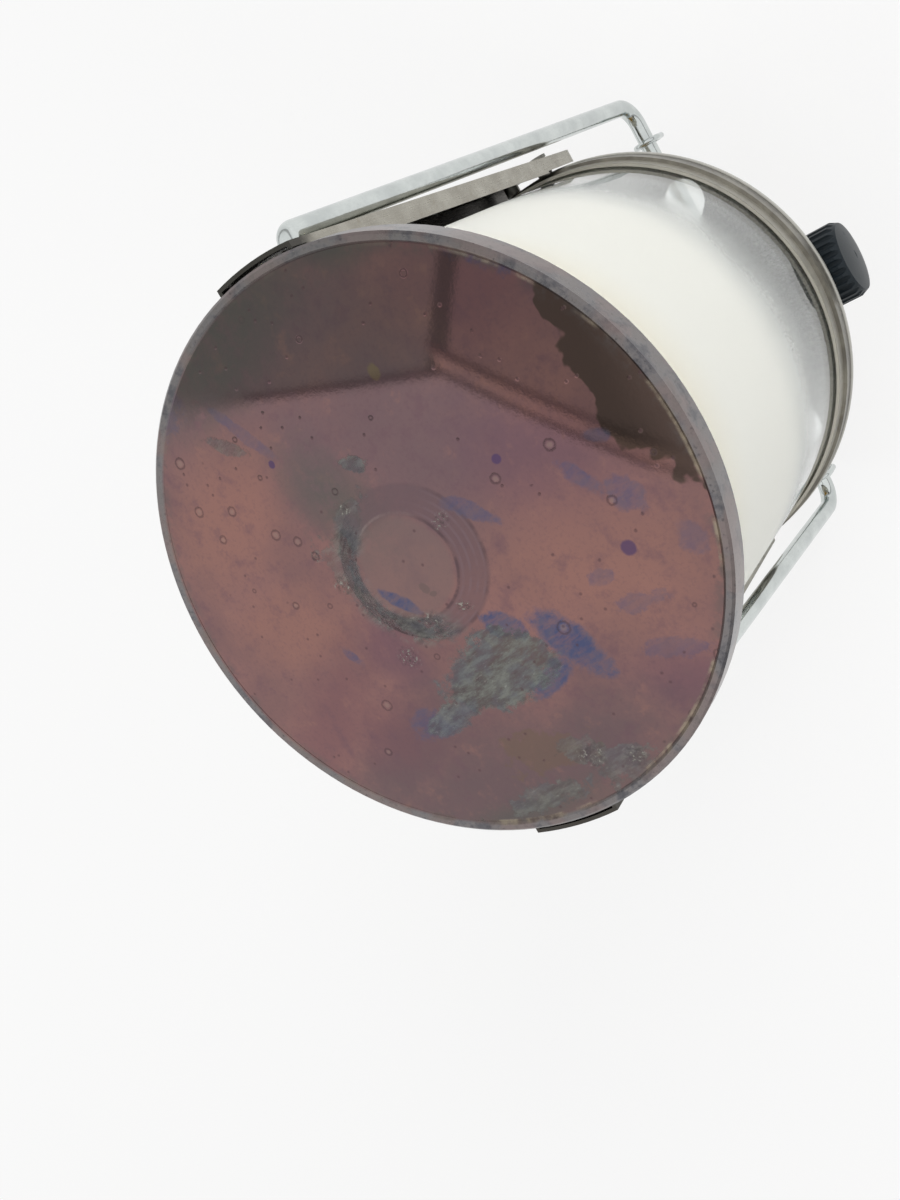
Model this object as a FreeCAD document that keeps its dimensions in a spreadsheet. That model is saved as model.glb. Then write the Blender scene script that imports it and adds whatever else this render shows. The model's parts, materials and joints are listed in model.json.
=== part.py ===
"""Gas camping lantern head: hood, glass globe, tray, struts, wire bail, burner, valve and cartridge collar.

Millimetres, +Z up along the lantern's axis, origin at the mouth of the cartridge thread, knob towards -Y,
struts on +X (right) and -X (left).
"""
import FreeCAD, Part
import math
import os

import Sketcher
from FreeCAD import Placement, Rotation, Vector

OUTPUT_FOLDER = "parts"

# Driving sizes, one cell each
SIZES = {
    # Hood
    "hood_overhang": 6.2,
    "hood_sheet": 0.8,
    "hood_skirt": 6.2,
    "hood_crown": 2.6,
    "edge_width": 2.0,
    "edge_step": 0.5,
    "boss_foot_radius": 15.3,
    "boss_top_radius": 10.4,
    "boss_rise": 2.2,
    # Globe
    "globe_radius": 52.8,
    "globe_wall": 2.6,
    "globe_height": 120.2,
    "globe_edge": 0.6,
    "gasket_height": 1.2,
    "vent_gap": 4.5,
    # Tray and reflector plate
    "base_height": 50.0,
    "tray_sheet": 0.8,
    "tray_lower_wall": 5.7,
    "tray_upper_wall": 4.8,
    "tray_clearance": 0.4,
    "rim_roll": 0.4,
    "reflector_sheet": 0.5,
    "reflector_gap": 0.6,
    "slot_width": 10.0,
    "slot_inner_radius": 35.0,
    "slot_margin": 0.9,
    "slot_count": 4,
    "slot_first_angle": 45.0,
    # Struts
    "strut_width": 19.0,
    "strut_sheet": 0.8,
    "strut_depth": 4.0,
    "strut_corner": 3.0,
    "strut_ear_drop": 1.5,
    "strut_foot_drop": 8.5,
    "strut_stand_off": 2.7,
    "strut_clearance": 0.6,
    "hood_clearance": 0.8,
    "rivet_radius": 1.25,
    "rivet_head_radius": 2.2,
    "rivet_head": 0.7,
    "rivet_tail_radius": 1.9,
    "rivet_tail": 0.5,
    "rivet_spread": 5.0,
    "rivet_height": 3.2,
    # Bail and its links
    "wire_radius": 2.2,
    "bail_drop": 15.5,
    "bail_clearance": 0.5,
    "bail_draw": 1.8,
    "bail_pin_bend": 2.5,
    "bail_corner_bend": 6.0,
    "bail_pin_reach": 2.2,
    "crossbar_height": 13.0,
    "crossbar_gap": 0.3,
    "pivot_clearance": 0.06,
    "link_wire_radius": 0.75,
    "link_gap": 0.3,
    "link_slack": 2.9,
    "link_right_inset": 11.0,
    "link_left_inset": 8.0,
    "end_link_wire_radius": 0.7,
    "end_link_inner_width": 3.2,
    "end_link_slack": 1.6,
    # Knob, spindle and gland
    "knob_radius": 9.75,
    "knob_length": 13.1,
    "knob_overhang": 4.3,
    "knob_bevel": 1.8,
    "knob_crown": 0.8,
    "knob_gap": 1.75,
    "knob_rib_radius": 0.8,
    "knob_rib_count": 26,
    "spindle_radius": 2.5,
    "spindle_start": 9.0,
    "spindle_grip": 7.5,
    "running_clearance": 0.05,
    "needle_radius": 1.2,
    "needle_length": 6.0,
    "needle_tip": 3.0,
    "gland_width": 13.0,
    "gland_face": 3.0,
    "gland_cavity": 2.3,
    "seal_wire_radius": 0.75,
    # Valve body and burner
    "valve_radius": 11.0,
    "valve_flange_radius": 14.0,
    "valve_flange": 3.0,
    "boss_radius": 6.5,
    "boss_reach": 18.0,
    "boss_thread_radius": 5.0,
    "boss_thread": 6.0,
    "stem_radius": 6.0,
    "stem_height": 8.0,
    "stem_clearance": 0.3,
    "nut_width": 17.0,
    "nut_height": 4.0,
    "thread_clearance": 0.05,
    "tube_radius": 5.0,
    "tube_wall": 1.0,
    "tube_height": 34.0,
    "tube_seat": 5.0,
    "air_hole_radius": 2.0,
    "air_hole_height": 9.0,
    "jet_radius": 3.5,
    "jet_length": 6.0,
    "jet_tip_radius": 1.5,
    "jet_tip": 3.0,
    "jet_bore": 0.5,
    "head_radius": 8.0,
    "head_height": 10.0,
    "head_groove_radius": 6.8,
    "head_groove": 2.4,
    "head_overlap": 5.0,
    "head_hole_radius": 1.0,
    "head_hole_circle": 4.2,
    "head_hole_count": 8,
    "mantle_wall": 0.5,
    "mantle_gap": 0.3,
    "mantle_radius": 17.0,
    "mantle_height": 42.0,
    "mantle_hem": 3.0,
    "tie_wire_radius": 0.5,
    # Cartridge collar
    "collar_radius": 15.6,
    "collar_height": 20.0,
    "collar_chamfer": 1.0,
    "collar_flute_radius": 1.2,
    "collar_flute_count": 18,
    "thread_radius": 5.56,
    "thread_depth": 10.0,
    "collar_seal_radius": 4.9,
    "collar_seal_hole": 2.4,
    "collar_seal_height": 1.8,
    "spigot_radius": 7.0,
    "spigot_depth": 5.0,
    "gas_hole_radius": 2.0,
    "pin_radius": 1.0,
    "pin_reach": 4.4,
}

doc = FreeCAD.newDocument("lantern")
sheet = doc.addObject("Spreadsheet::Sheet", "Sizes")
for row, (alias, number) in enumerate(SIZES.items(), start=1):
    sheet.set(f"A{row}", alias)
    sheet.set(f"B{row}", str(number))
    sheet.setAlias(f"B{row}", alias)
doc.recompute()


class Size:
    """A size with its value and the sheet expression that gives it."""

    def __init__(self, value, text):
        self.value = value
        self.text = text

    def __add__(self, other):
        other = as_size(other)
        return Size(self.value + other.value, f"({self.text} + {other.text})")

    def __sub__(self, other):
        other = as_size(other)
        return Size(self.value - other.value, f"({self.text} - {other.text})")

    def __mul__(self, other):
        other = as_size(other)
        return Size(self.value * other.value, f"({self.text} * {other.text})")

    def __truediv__(self, other):
        other = as_size(other)
        return Size(self.value / other.value, f"({self.text} / {other.text})")

    def __neg__(self):
        return Size(-self.value, f"(0 - {self.text})")

    def root(self):
        return Size(math.sqrt(self.value), f"sqrt({self.text})")


def as_size(thing):
    if isinstance(thing, Size):
        return thing
    return Size(float(thing), str(float(thing)))


def cell(alias):
    return Size(float(getattr(sheet, alias)), f"{sheet.Name}.{alias}")


class Cells:
    """The driving sizes by name."""


s = Cells()
for alias in SIZES:
    setattr(s, alias, cell(alias))

# Heights up the axis, from the thread's mouth
floor_top = s.base_height + s.tray_sheet
globe_bottom = floor_top + s.gasket_height
globe_top = globe_bottom + s.globe_height
hood_edge = globe_top + s.vent_gap + s.hood_sheet
skirt_bottom = hood_edge - s.hood_skirt
reflector_top = floor_top + s.reflector_sheet
stem_top = s.base_height + s.stem_height
tube_bottom = stem_top - s.tube_seat
tube_top = tube_bottom + s.tube_height
head_bottom = tube_top - s.head_overlap
head_top = head_bottom + s.head_height
rim_bottom = s.base_height - s.rim_roll
knob_axis = rim_bottom - s.knob_gap - s.knob_radius
pivot_height = hood_edge - s.bail_drop

# Radii from the axis
hood_radius = s.globe_radius + s.hood_overhang
tray_inner = s.globe_radius + s.tray_clearance
tray_upper = tray_inner + s.tray_sheet
tray_lower = tray_upper + s.tray_sheet
rim_radius = tray_lower + s.rim_roll
globe_bore = s.globe_radius - s.globe_wall
reflector_radius = globe_bore - s.reflector_gap

# Strut line: outer face of the web at its foot and at its ear
strut_foot = s.base_height - s.strut_foot_drop
strut_ear = hood_edge - s.strut_ear_drop
strut_foot_x = rim_radius + s.strut_stand_off + s.strut_sheet
strut_ear_x = hood_radius + s.hood_clearance + s.strut_sheet
strut_slope = (strut_ear_x - strut_foot_x) / (strut_ear - strut_foot)


def web_outer(height):
    return strut_foot_x + strut_slope * (height - strut_foot)


# Bail: half widths at the pivot and at the crossbar, reach and lean at rest against the collar
arm_x = strut_ear_x + s.bail_clearance + s.wire_radius
crossbar_x = arm_x - s.bail_draw
crossbar_back = s.collar_radius + s.wire_radius + s.crossbar_gap
crossbar_fall = pivot_height - s.crossbar_height
bail_reach = (crossbar_fall * crossbar_fall + crossbar_back * crossbar_back).root()
bail_lean_text = f"-atan({crossbar_back.text} / {crossbar_fall.text})"
bail_lean = -math.degrees(math.atan2(crossbar_back.value, crossbar_fall.value))

# Turns that lay a piece's own axis along another direction
UPRIGHT = Rotation()
OUTWARD = Rotation(Vector(1, 0, 0), 90)
ALONG_X = Rotation(Vector(0, 1, 0), 90)
ZERO = as_size(0)
subparts = []


def sub_part(thing, name):
    """Gives a finished piece its name and lists it for writing."""
    thing.Label = name
    subparts.append(thing)
    return thing


def bind(thing, **sizes):
    for key, size in sizes.items():
        thing.setExpression(key, as_size(size).text)


def place(thing, at=(ZERO, ZERO, ZERO), turn=UPRIGHT):
    places = [as_size(part) for part in at]
    thing.Placement = Placement(Vector(*[part.value for part in places]), turn)
    for axis, part in zip("xyz", places):
        thing.setExpression(f"Placement.Base.{axis}", part.text)


def primitive(kind, name, at=(ZERO, ZERO, ZERO), turn=UPRIGHT, **sizes):
    thing = doc.addObject(kind, name)
    bind(thing, **sizes)
    place(thing, at, turn)
    return thing


def cylinder(name, radius, height, at=(ZERO, ZERO, ZERO), turn=UPRIGHT):
    return primitive("Part::Cylinder", name, at, turn, Radius=radius, Height=height)


def join(name, pieces):
    thing = doc.addObject("Part::MultiFuse", name)
    thing.Shapes = pieces
    thing.Refine = True
    return thing


def cut(name, base, tools):
    thing = doc.addObject("Part::Cut", name)
    thing.Base = base
    thing.Tool = tools[0] if len(tools) == 1 else join(f"{name}_cutters", tools)
    return thing


def origin_plane(body, role):
    return [plane for plane in body.Origin.OriginFeatures if plane.Role == role][0]


def new_sketch(body, name, role):
    sketch = body.newObject("Sketcher::SketchObject", name)
    sketch.AttachmentSupport = [(origin_plane(body, role), "")]
    sketch.MapMode = "FlatFace"
    return sketch


def dimension(sketch, kind, *where, size):
    """Adds one measured constraint and binds it to a size."""
    number = sketch.addConstraint(Sketcher.Constraint(kind, *where, size.value))
    sketch.setExpression(f"Constraints[{number}]", size.text)


def outline(body, name, role, corners, crowns=()):
    """Closed outline through corners; edges listed in crowns are arcs centred on the upright axis."""
    sketch = new_sketch(body, name, role)
    corners = [(as_size(across), as_size(up)) for across, up in corners]
    points = [Vector(across.value, up.value, 0) for across, up in corners]
    count = len(points)
    for index, start in enumerate(points):
        end = points[(index + 1) % count]
        if index in crowns:
            sketch.addGeometry(crown_arc(start, end))
        else:
            sketch.addGeometry(Part.LineSegment(start, end))
    ends = [arc_ends(points, index, index in crowns) for index in range(count)]
    for index in range(count):
        follower = (index + 1) % count
        sketch.addConstraint(Sketcher.Constraint("Coincident", index, ends[index][1], follower, ends[follower][0]))
    for index in crowns:
        sketch.addConstraint(Sketcher.Constraint("PointOnObject", index, 3, -2))
    for index, (across, up) in enumerate(corners):
        dimension(sketch, "DistanceX", -1, 1, index, ends[index][0], size=across)
        dimension(sketch, "DistanceY", -1, 1, index, ends[index][0], size=up)
    return sketch


def crown_arc(start, end):
    """Arc from start to end whose centre lies on the upright axis."""
    rise = end.y - start.y
    centre_up = (end.x ** 2 + end.y ** 2 - start.x ** 2 - start.y ** 2) / (2 * rise)
    centre = Vector(0, centre_up, 0)
    radius = (start - centre).Length
    angles = [math.atan2(point.y - centre_up, point.x) for point in (start, end)]
    circle = Part.Circle(centre, Vector(0, 0, 1), radius)
    return Part.ArcOfCircle(circle, min(angles), max(angles))


def arc_ends(points, index, crowned):
    """Which end of an edge is its first corner and which its second."""
    start = points[index]
    end = points[(index + 1) % len(points)]
    if crowned and end.x > start.x:
        return (2, 1)
    return (1, 2)


def turned(name, corners, crowns=(), at=(ZERO, ZERO, ZERO), turn=UPRIGHT):
    """A body turned about its own upright axis from a half outline."""
    body = doc.addObject("PartDesign::Body", name)
    sketch = outline(body, f"{name}_outline", "XZ_Plane", corners, crowns)
    feature = body.newObject("PartDesign::Revolution", f"{name}_turned")
    feature.Profile = sketch
    feature.ReferenceAxis = (sketch, ["V_Axis"])
    feature.Angle = 360
    body.Tip = feature
    place(body, at, turn)
    return body


def around(count, first=0.0):
    return [first + 360.0 * index / count for index in range(count)]


def set_round(name, maker, count, radius, first=0.0):
    """Makes one piece at each of count places round a circle, all bound to the circle's radius."""
    pieces = []
    for index, angle in enumerate(around(count, first)):
        across = radius * math.cos(math.radians(angle))
        along = radius * math.sin(math.radians(angle))
        pieces.append(maker(f"{name}_{index}", across, along, angle))
    return pieces


# Hood
def make_hood():
    sheet_gap = s.hood_sheet
    edge_inner = hood_radius - s.edge_width
    edge_low = hood_edge - s.edge_step
    crown_top = edge_low + s.hood_crown
    boss_top = crown_top + s.boss_rise
    edge_round = s.edge_width / 4
    corners = [
        (hood_radius, skirt_bottom),
        (hood_radius, hood_edge - edge_round),
        (hood_radius - edge_round, hood_edge),
        (edge_inner + edge_round, hood_edge),
        (edge_inner, edge_low),
        (s.boss_foot_radius, crown_top),
        (s.boss_top_radius, boss_top),
        (ZERO, boss_top),
        (ZERO, boss_top - sheet_gap),
        (s.boss_top_radius - sheet_gap / 2, boss_top - sheet_gap),
        (s.boss_foot_radius - sheet_gap / 2, crown_top - sheet_gap),
        (edge_inner - sheet_gap, edge_low - sheet_gap),
        (hood_radius - sheet_gap, edge_low - sheet_gap),
        (hood_radius - sheet_gap, skirt_bottom),
    ]
    return turned("hood_cap", corners, crowns=(4, 10))


# Globe and its gasket
def make_globe():
    edge = s.globe_edge
    corners = [
        (globe_bore + edge, globe_bottom),
        (s.globe_radius - edge, globe_bottom),
        (s.globe_radius, globe_bottom + edge),
        (s.globe_radius, globe_top - edge),
        (s.globe_radius - edge, globe_top),
        (globe_bore + edge, globe_top),
        (globe_bore, globe_top - edge),
        (globe_bore, globe_bottom + edge),
    ]
    return turned("globe_tube", corners)


def make_gasket():
    corners = [
        (globe_bore, floor_top),
        (s.globe_radius, floor_top),
        (s.globe_radius, globe_bottom),
        (globe_bore, globe_bottom),
    ]
    return turned("gasket_ring", corners)


# Tray and reflector plate, both pierced by the same round-ended slots
def slot_cutters():
    radius = s.slot_width / 2
    outer = reflector_radius - s.slot_margin - radius
    depth = s.tray_sheet + s.reflector_sheet + s.rim_roll * 2
    foot = s.base_height - s.rim_roll
    pieces = []
    for index, angle in enumerate(around(int(s.slot_count.value), s.slot_first_angle.value)):
        turn = Rotation(Vector(0, 0, 1), angle)
        sine = math.sin(math.radians(angle))
        cosine = math.cos(math.radians(angle))
        channel = primitive(
            "Part::Box", f"slot_channel_{index}",
            at=(s.slot_inner_radius * cosine + radius * sine, s.slot_inner_radius * sine - radius * cosine, foot),
            turn=turn, Length=outer - s.slot_inner_radius, Width=s.slot_width, Height=depth)
        ends = [
            cylinder(f"slot_{end}_{index}", radius, depth, at=(place_out * cosine, place_out * sine, foot))
            for end, place_out in (("inner", s.slot_inner_radius), ("outer", outer))
        ]
        pieces.append(join(f"slot_{index}", [channel, *ends]))
    return pieces


def make_tray(cutters):
    hole = s.stem_radius + s.stem_clearance
    roll = s.rim_roll
    lower_top = s.base_height + s.tray_lower_wall
    step_top = lower_top + s.tray_sheet
    wall_top = step_top + s.tray_upper_wall - s.tray_sheet
    lower_inner = tray_lower - s.tray_sheet
    corners = [
        (hole, s.base_height),
        (lower_inner - roll, s.base_height),
        (lower_inner, s.base_height - roll),
        (tray_lower, s.base_height - roll),
        (rim_radius, s.base_height),
        (rim_radius, floor_top),
        (tray_lower, floor_top + roll),
        (tray_lower, lower_top),
        (tray_upper, step_top),
        (tray_upper, wall_top),
        (tray_inner, wall_top),
        (tray_inner, step_top - s.tray_sheet / 2),
        (lower_inner, lower_top - s.tray_sheet / 2),
        (lower_inner, floor_top),
        (hole, floor_top),
    ]
    rivet_holes = rivet_cutters("tray", rim_radius * 2, -rim_radius)
    return cut("tray_pierced", turned("tray_cup", corners), [*cutters, *rivet_holes])


def make_reflector(cutters):
    hole = s.stem_radius + s.stem_clearance
    corners = [
        (hole, floor_top),
        (reflector_radius, floor_top),
        (reflector_radius, reflector_top),
        (hole, reflector_top),
    ]
    return cut("reflector_pierced", turned("reflector_disc", corners), cutters)


# Struts: a channel whose web curves round the axis and leans out, cleared for what it passes
def strut_cone(name, inset):
    """Round solid whose side is the strut line moved in by an inset."""
    return primitive(
        "Part::Cone", name, at=(ZERO, ZERO, strut_foot),
        Radius1=strut_foot_x - inset, Radius2=strut_ear_x - inset, Height=strut_ear - strut_foot)


def strut_slab(name, width):
    return primitive(
        "Part::Box", name, at=(ZERO, -width / 2, strut_foot),
        Length=strut_ear_x, Width=width, Height=strut_ear - strut_foot)


def common(name, first, second):
    thing = doc.addObject("Part::Common", name)
    thing.Base = first
    thing.Tool = second
    return thing


def foot_rounding():
    """Cutters that round the two corners of the strut's foot."""
    radius = s.strut_corner
    up = strut_foot + radius
    pieces = []
    for name, side in (("front", -1), ("rear", 1)):
        middle = (s.strut_width / 2 - radius) * side
        low = middle - radius if side < 0 else middle
        block = primitive(
            "Part::Box", f"foot_block_{name}", at=(ZERO, low, strut_foot),
            Length=strut_ear_x, Width=radius, Height=radius)
        rod = cylinder(f"foot_rod_{name}", radius, strut_ear_x, at=(ZERO, middle, up), turn=ALONG_X)
        pieces.append(cut(f"foot_corner_{name}", block, [rod]))
    return pieces


RIVET_SIDES = (("front", -1), ("rear", 1))
rivet_axis = s.base_height + s.rivet_height


def rivet_cutters(name, length, start):
    """Holes for the rivets' shanks, drilled along X."""
    return [
        cylinder(
            f"{name}_rivet_hole_{end}", s.rivet_radius + s.running_clearance, length,
            at=(start, s.rivet_spread * side, rivet_axis), turn=ALONG_X)
        for end, side in RIVET_SIDES
    ]


def wall_x(radius, offset):
    """Where a round wall lies along X at an offset from the middle."""
    return (radius * radius - offset * offset).root()


def make_strut():
    tall = hood_edge + s.hood_skirt
    wall_top = s.base_height + s.tray_lower_wall + s.tray_upper_wall + s.strut_clearance
    blank = common("strut_blank", strut_cone("strut_outside", ZERO), strut_slab("strut_slab", s.strut_width))
    hollow = common(
        "strut_hollow", strut_cone("strut_web_inside", s.strut_sheet),
        strut_slab("strut_hollow_slab", s.strut_width - s.strut_sheet * 2))
    cutters = [
        hollow,
        strut_cone("strut_lip_inside", s.strut_depth),
        *foot_rounding(),
        cylinder("strut_globe_room", s.globe_radius + s.strut_clearance, tall),
        cylinder("strut_tray_room", rim_radius + s.crossbar_gap, wall_top),
        cylinder(
            "strut_hood_room", hood_radius + s.crossbar_gap, tall - skirt_bottom,
            at=(ZERO, ZERO, skirt_bottom)),
        cylinder(
            "strut_pivot_hole", s.wire_radius + s.pivot_clearance, strut_ear_x,
            at=(ZERO, ZERO, pivot_height), turn=ALONG_X),
    ]
    cutters.extend(rivet_cutters("strut", strut_ear_x, ZERO))
    return cut("strut_cleared", blank, cutters)


def mirrored(name, source):
    thing = doc.addObject("Part::Mirroring", name)
    thing.Source = source
    thing.Normal = Vector(1, 0, 0)
    return thing


def make_rivets():
    """Each rivet has an outer head, a shoulder that spaces the web from the wall, and an inner head."""
    pieces = []
    lean_room = s.running_clearance * 2
    web = wall_x(web_outer(rivet_axis), s.rivet_spread - s.rivet_head_radius)
    web_inner = wall_x(web_outer(rivet_axis) - s.strut_sheet, s.rivet_spread + s.rivet_tail_radius)
    shoulder = wall_x(tray_lower, s.rivet_spread - s.rivet_tail_radius) + lean_room
    tail_face = wall_x(tray_lower - s.tray_sheet, s.rivet_spread + s.rivet_tail_radius) - s.running_clearance
    foot = tail_face - s.rivet_tail
    steps = [
        (s.rivet_radius, foot, web - foot + s.rivet_head),
        (s.rivet_tail_radius, foot, s.rivet_tail),
        (s.rivet_tail_radius, shoulder, web_inner - shoulder - lean_room),
        (s.rivet_head_radius, web + lean_room, s.rivet_head),
    ]
    for name, side in RIVET_SIDES:
        offset = s.rivet_spread * side
        shank = [
            cylinder(f"rivet_{name}_{index}", radius, length, at=(start, offset, rivet_axis), turn=ALONG_X)
            for index, (radius, start, length) in enumerate(steps)
        ]
        piece = join(f"rivet_{name}", shank)
        pieces.extend([piece, mirrored(f"rivet_{name}_left", piece)])
    group = doc.addObject("Part::Compound", "rivet_group")
    group.Links = pieces
    return group


# Bail: one wire bent along a path that starts and ends inside the struts
def bail_path(body):
    sketch = new_sketch(body, "bail_path", "XZ_Plane")
    reach = bail_reach.value
    pin_end = web_outer(pivot_height) - s.strut_sheet - s.bail_pin_reach
    bend = s.bail_pin_bend.value
    corner = s.bail_corner_bend.value
    wide = arm_x.value
    low = crossbar_x.value
    right = [
        Part.LineSegment(Vector(pin_end.value, 0, 0), Vector(wide - bend, 0, 0)),
        Part.ArcOfCircle(Part.Circle(Vector(wide - bend, -bend, 0), Vector(0, 0, 1), bend), 0, math.pi / 2),
        Part.LineSegment(Vector(wide, -bend, 0), Vector(low, corner - reach, 0)),
        Part.ArcOfCircle(
            Part.Circle(Vector(low - corner, corner - reach, 0), Vector(0, 0, 1), corner), -math.pi / 2, 0),
    ]
    crossbar = Part.LineSegment(Vector(low - corner, -reach, 0), Vector(corner - low, -reach, 0))
    left = [
        Part.ArcOfCircle(
            Part.Circle(Vector(corner - low, corner - reach, 0), Vector(0, 0, 1), corner), math.pi, 1.5 * math.pi),
        Part.LineSegment(Vector(-low, corner - reach, 0), Vector(-wide, -bend, 0)),
        Part.ArcOfCircle(
            Part.Circle(Vector(bend - wide, -bend, 0), Vector(0, 0, 1), bend), math.pi / 2, math.pi),
        Part.LineSegment(Vector(bend - wide, 0, 0), Vector(-pin_end.value, 0, 0)),
    ]
    sketch.addGeometry([*right, crossbar, *left])
    corners = [
        (arm_x, ZERO, 2),
        (crossbar_x, -bail_reach, 2),
        (-crossbar_x, -bail_reach, 6),
        (-arm_x, ZERO, 6),
    ]
    for across, up, arm in corners:
        point = sketch.addGeometry(Part.Point(Vector(across.value, up.value, 0)), True)
        dimension(sketch, "DistanceX", -1, 1, point, 1, size=across)
        dimension(sketch, "DistanceY", -1, 1, point, 1, size=up)
        sketch.addConstraint(Sketcher.Constraint("PointOnObject", point, 1, arm))
    joints = [(0, 2, 1, 2), (1, 1, 2, 1), (2, 2, 3, 2), (3, 1, 4, 1), (4, 2, 5, 2), (5, 1, 6, 1), (6, 2, 7, 2), (7, 1, 8, 1)]
    for first, first_end, second, second_end in joints:
        sketch.addConstraint(Sketcher.Constraint("Tangent", first, first_end, second, second_end))
    for straight in (0, 4, 8):
        sketch.addConstraint(Sketcher.Constraint("Horizontal", straight))
    for end, across in (((0, 1), pin_end), ((8, 2), -pin_end)):
        sketch.addConstraint(Sketcher.Constraint("PointOnObject", *end, -1))
        dimension(sketch, "DistanceX", -1, 1, *end, size=across)
    dimension(sketch, "DistanceY", -1, 1, 4, 1, size=-bail_reach)
    for arc, radius in ((1, s.bail_pin_bend), (3, s.bail_corner_bend), (5, s.bail_corner_bend), (7, s.bail_pin_bend)):
        dimension(sketch, "Radius", arc, size=radius)
    return sketch, pin_end


def make_bail():
    body = doc.addObject("PartDesign::Body", "bail_wire")
    path, pin_end = bail_path(body)
    section = new_sketch(body, "bail_section", "YZ_Plane")
    section.AttachmentOffset = Placement(Vector(0, 0, pin_end.value), Rotation())
    section.setExpression("AttachmentOffset.Base.z", pin_end.text)
    section.addGeometry(Part.Circle(Vector(0, 0, 0), Vector(0, 0, 1), s.wire_radius.value))
    section.addConstraint(Sketcher.Constraint("Coincident", 0, 3, -1, 1))
    dimension(section, "Radius", 0, size=s.wire_radius)
    feature = body.newObject("PartDesign::AdditivePipe", "bail_bent")
    feature.Profile = section
    feature.Spine = (path, [f"Edge{number}" for number in range(1, 10)])
    body.Tip = feature
    place(body, (ZERO, ZERO, pivot_height), Rotation(Vector(1, 0, 0), bail_lean))
    body.setExpression("Placement.Rotation.Angle", bail_lean_text)
    return body


# Links: ovals of wire, hanging straight down
def oval_link(name, wire, bend, straight, at, turn):
    """An oval of wire round two ends that are straight apart; at is the middle of its upper end."""
    across, along, up = [as_size(part) for part in at]
    low = up - straight
    side = turn.multVec(Vector(1, 0, 0))
    upper = primitive(
        "Part::Torus", f"{name}_upper", at=(across, along, up),
        turn=turn.multiply(Rotation(Vector(1, 0, 0), 90)), Radius1=bend, Radius2=wire, Angle3=180)
    lower = primitive(
        "Part::Torus", f"{name}_lower", at=(across, along, low),
        turn=turn.multiply(Rotation(Vector(1, 0, 0), -90)), Radius1=bend, Radius2=wire, Angle3=180)
    sides = [
        cylinder(
            f"{name}_side_{index}", wire, straight,
            at=(across + bend * side.x * sign, along + bend * side.y * sign, low))
        for index, sign in enumerate((-1, 1))
    ]
    return join(f"{name}_oval", [upper, lower, *sides])


link_bend = s.wire_radius + s.link_gap + s.link_wire_radius
link_straight = s.link_slack
link_right_x = crossbar_x - s.link_right_inset
link_left_x = s.link_left_inset - crossbar_x
end_link_bend = s.end_link_inner_width / 2 + s.end_link_wire_radius
end_link_rest = s.crossbar_height - link_straight - link_bend
end_link_up = end_link_rest + s.link_wire_radius + s.link_gap + s.end_link_wire_radius - end_link_bend


def make_links():
    ring_turn = Rotation(Vector(0, 0, 1), 90)
    for name, across in (("link_right", link_right_x), ("link_left", link_left_x)):
        link = oval_link(
            name, s.link_wire_radius, link_bend, link_straight,
            (across, -crossbar_back, s.crossbar_height), ring_turn)
        sub_part(link, name)
    end_link = oval_link(
        "link_end", s.end_link_wire_radius, end_link_bend, s.end_link_slack,
        (link_left_x, -crossbar_back, end_link_up), UPRIGHT)
    sub_part(end_link, "link_end")


# Knob and what it turns; each is drawn upright and laid outward along -Y
knob_face = rim_radius + s.knob_overhang
knob_back = knob_face - s.knob_length
spindle_end = knob_back + s.spindle_grip
laid_out = dict(at=(ZERO, ZERO, knob_axis), turn=OUTWARD)


def make_knob():
    bore = s.spindle_radius + s.running_clearance / 2
    bevel_foot = knob_face - s.knob_crown - s.knob_bevel
    corners = [
        (bore, knob_back),
        (s.knob_radius - s.knob_crown, knob_back),
        (s.knob_radius, knob_back + s.knob_crown),
        (s.knob_radius, bevel_foot),
        (s.knob_radius - s.knob_bevel / 2, knob_face - s.knob_crown),
        (ZERO, knob_face),
        (ZERO, spindle_end),
        (bore, spindle_end),
    ]
    blank = turned("knob_blank", corners, crowns=(4,))
    rib_circle = s.knob_radius + s.knob_rib_radius / 8

    def groove(name, across, along, angle):
        return cylinder(name, s.knob_rib_radius, bevel_foot - knob_back + s.knob_bevel, at=(across, along, knob_back))

    grooves = set_round("knob_groove", groove, int(s.knob_rib_count.value), rib_circle)
    knob = cut("knob_ribbed", blank, grooves)
    place(knob, **laid_out)
    return knob


def make_spindle():
    corners = [
        (ZERO, s.spindle_start),
        (s.spindle_radius, s.spindle_start),
        (s.spindle_radius, spindle_end),
        (ZERO, spindle_end),
    ]
    return turned("spindle_rod", corners, **laid_out)


def make_needle():
    start = s.spindle_start - s.needle_length
    corners = [
        (ZERO, start),
        (s.needle_radius / 3, start),
        (s.needle_radius, start + s.needle_tip),
        (s.needle_radius, s.spindle_start),
        (ZERO, s.spindle_start),
    ]
    return turned("needle_cone", corners, **laid_out)


boss_end = s.boss_reach + s.boss_thread
gland_cavity_end = boss_end + s.gland_cavity
gland_end = gland_cavity_end + s.gland_face


def hexagon(name, width, height, at, turn=UPRIGHT):
    return primitive(
        "Part::Prism", name, at, turn, Circumradius=width / math.sqrt(3), Height=height)


def make_gland_nut():
    """Hexagon nut on the boss's thread, with a room for the seal and a hole for the spindle."""
    blank = hexagon("gland_hexagon", s.gland_width, gland_end - s.boss_reach, at=(ZERO, ZERO, s.boss_reach))
    cavity = s.spindle_radius + s.seal_wire_radius * 2 + s.running_clearance * 4
    bores = [
        cylinder(
            "gland_thread", s.boss_thread_radius + s.thread_clearance, s.boss_thread,
            at=(ZERO, ZERO, s.boss_reach)),
        cylinder("gland_room", cavity, gland_cavity_end - s.boss_reach, at=(ZERO, ZERO, s.boss_reach)),
        cylinder("gland_hole", s.spindle_radius + s.running_clearance, gland_end, at=(ZERO, ZERO, ZERO)),
    ]
    nut = cut("gland_bored", blank, bores)
    place(nut, **laid_out)
    return nut


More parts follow.
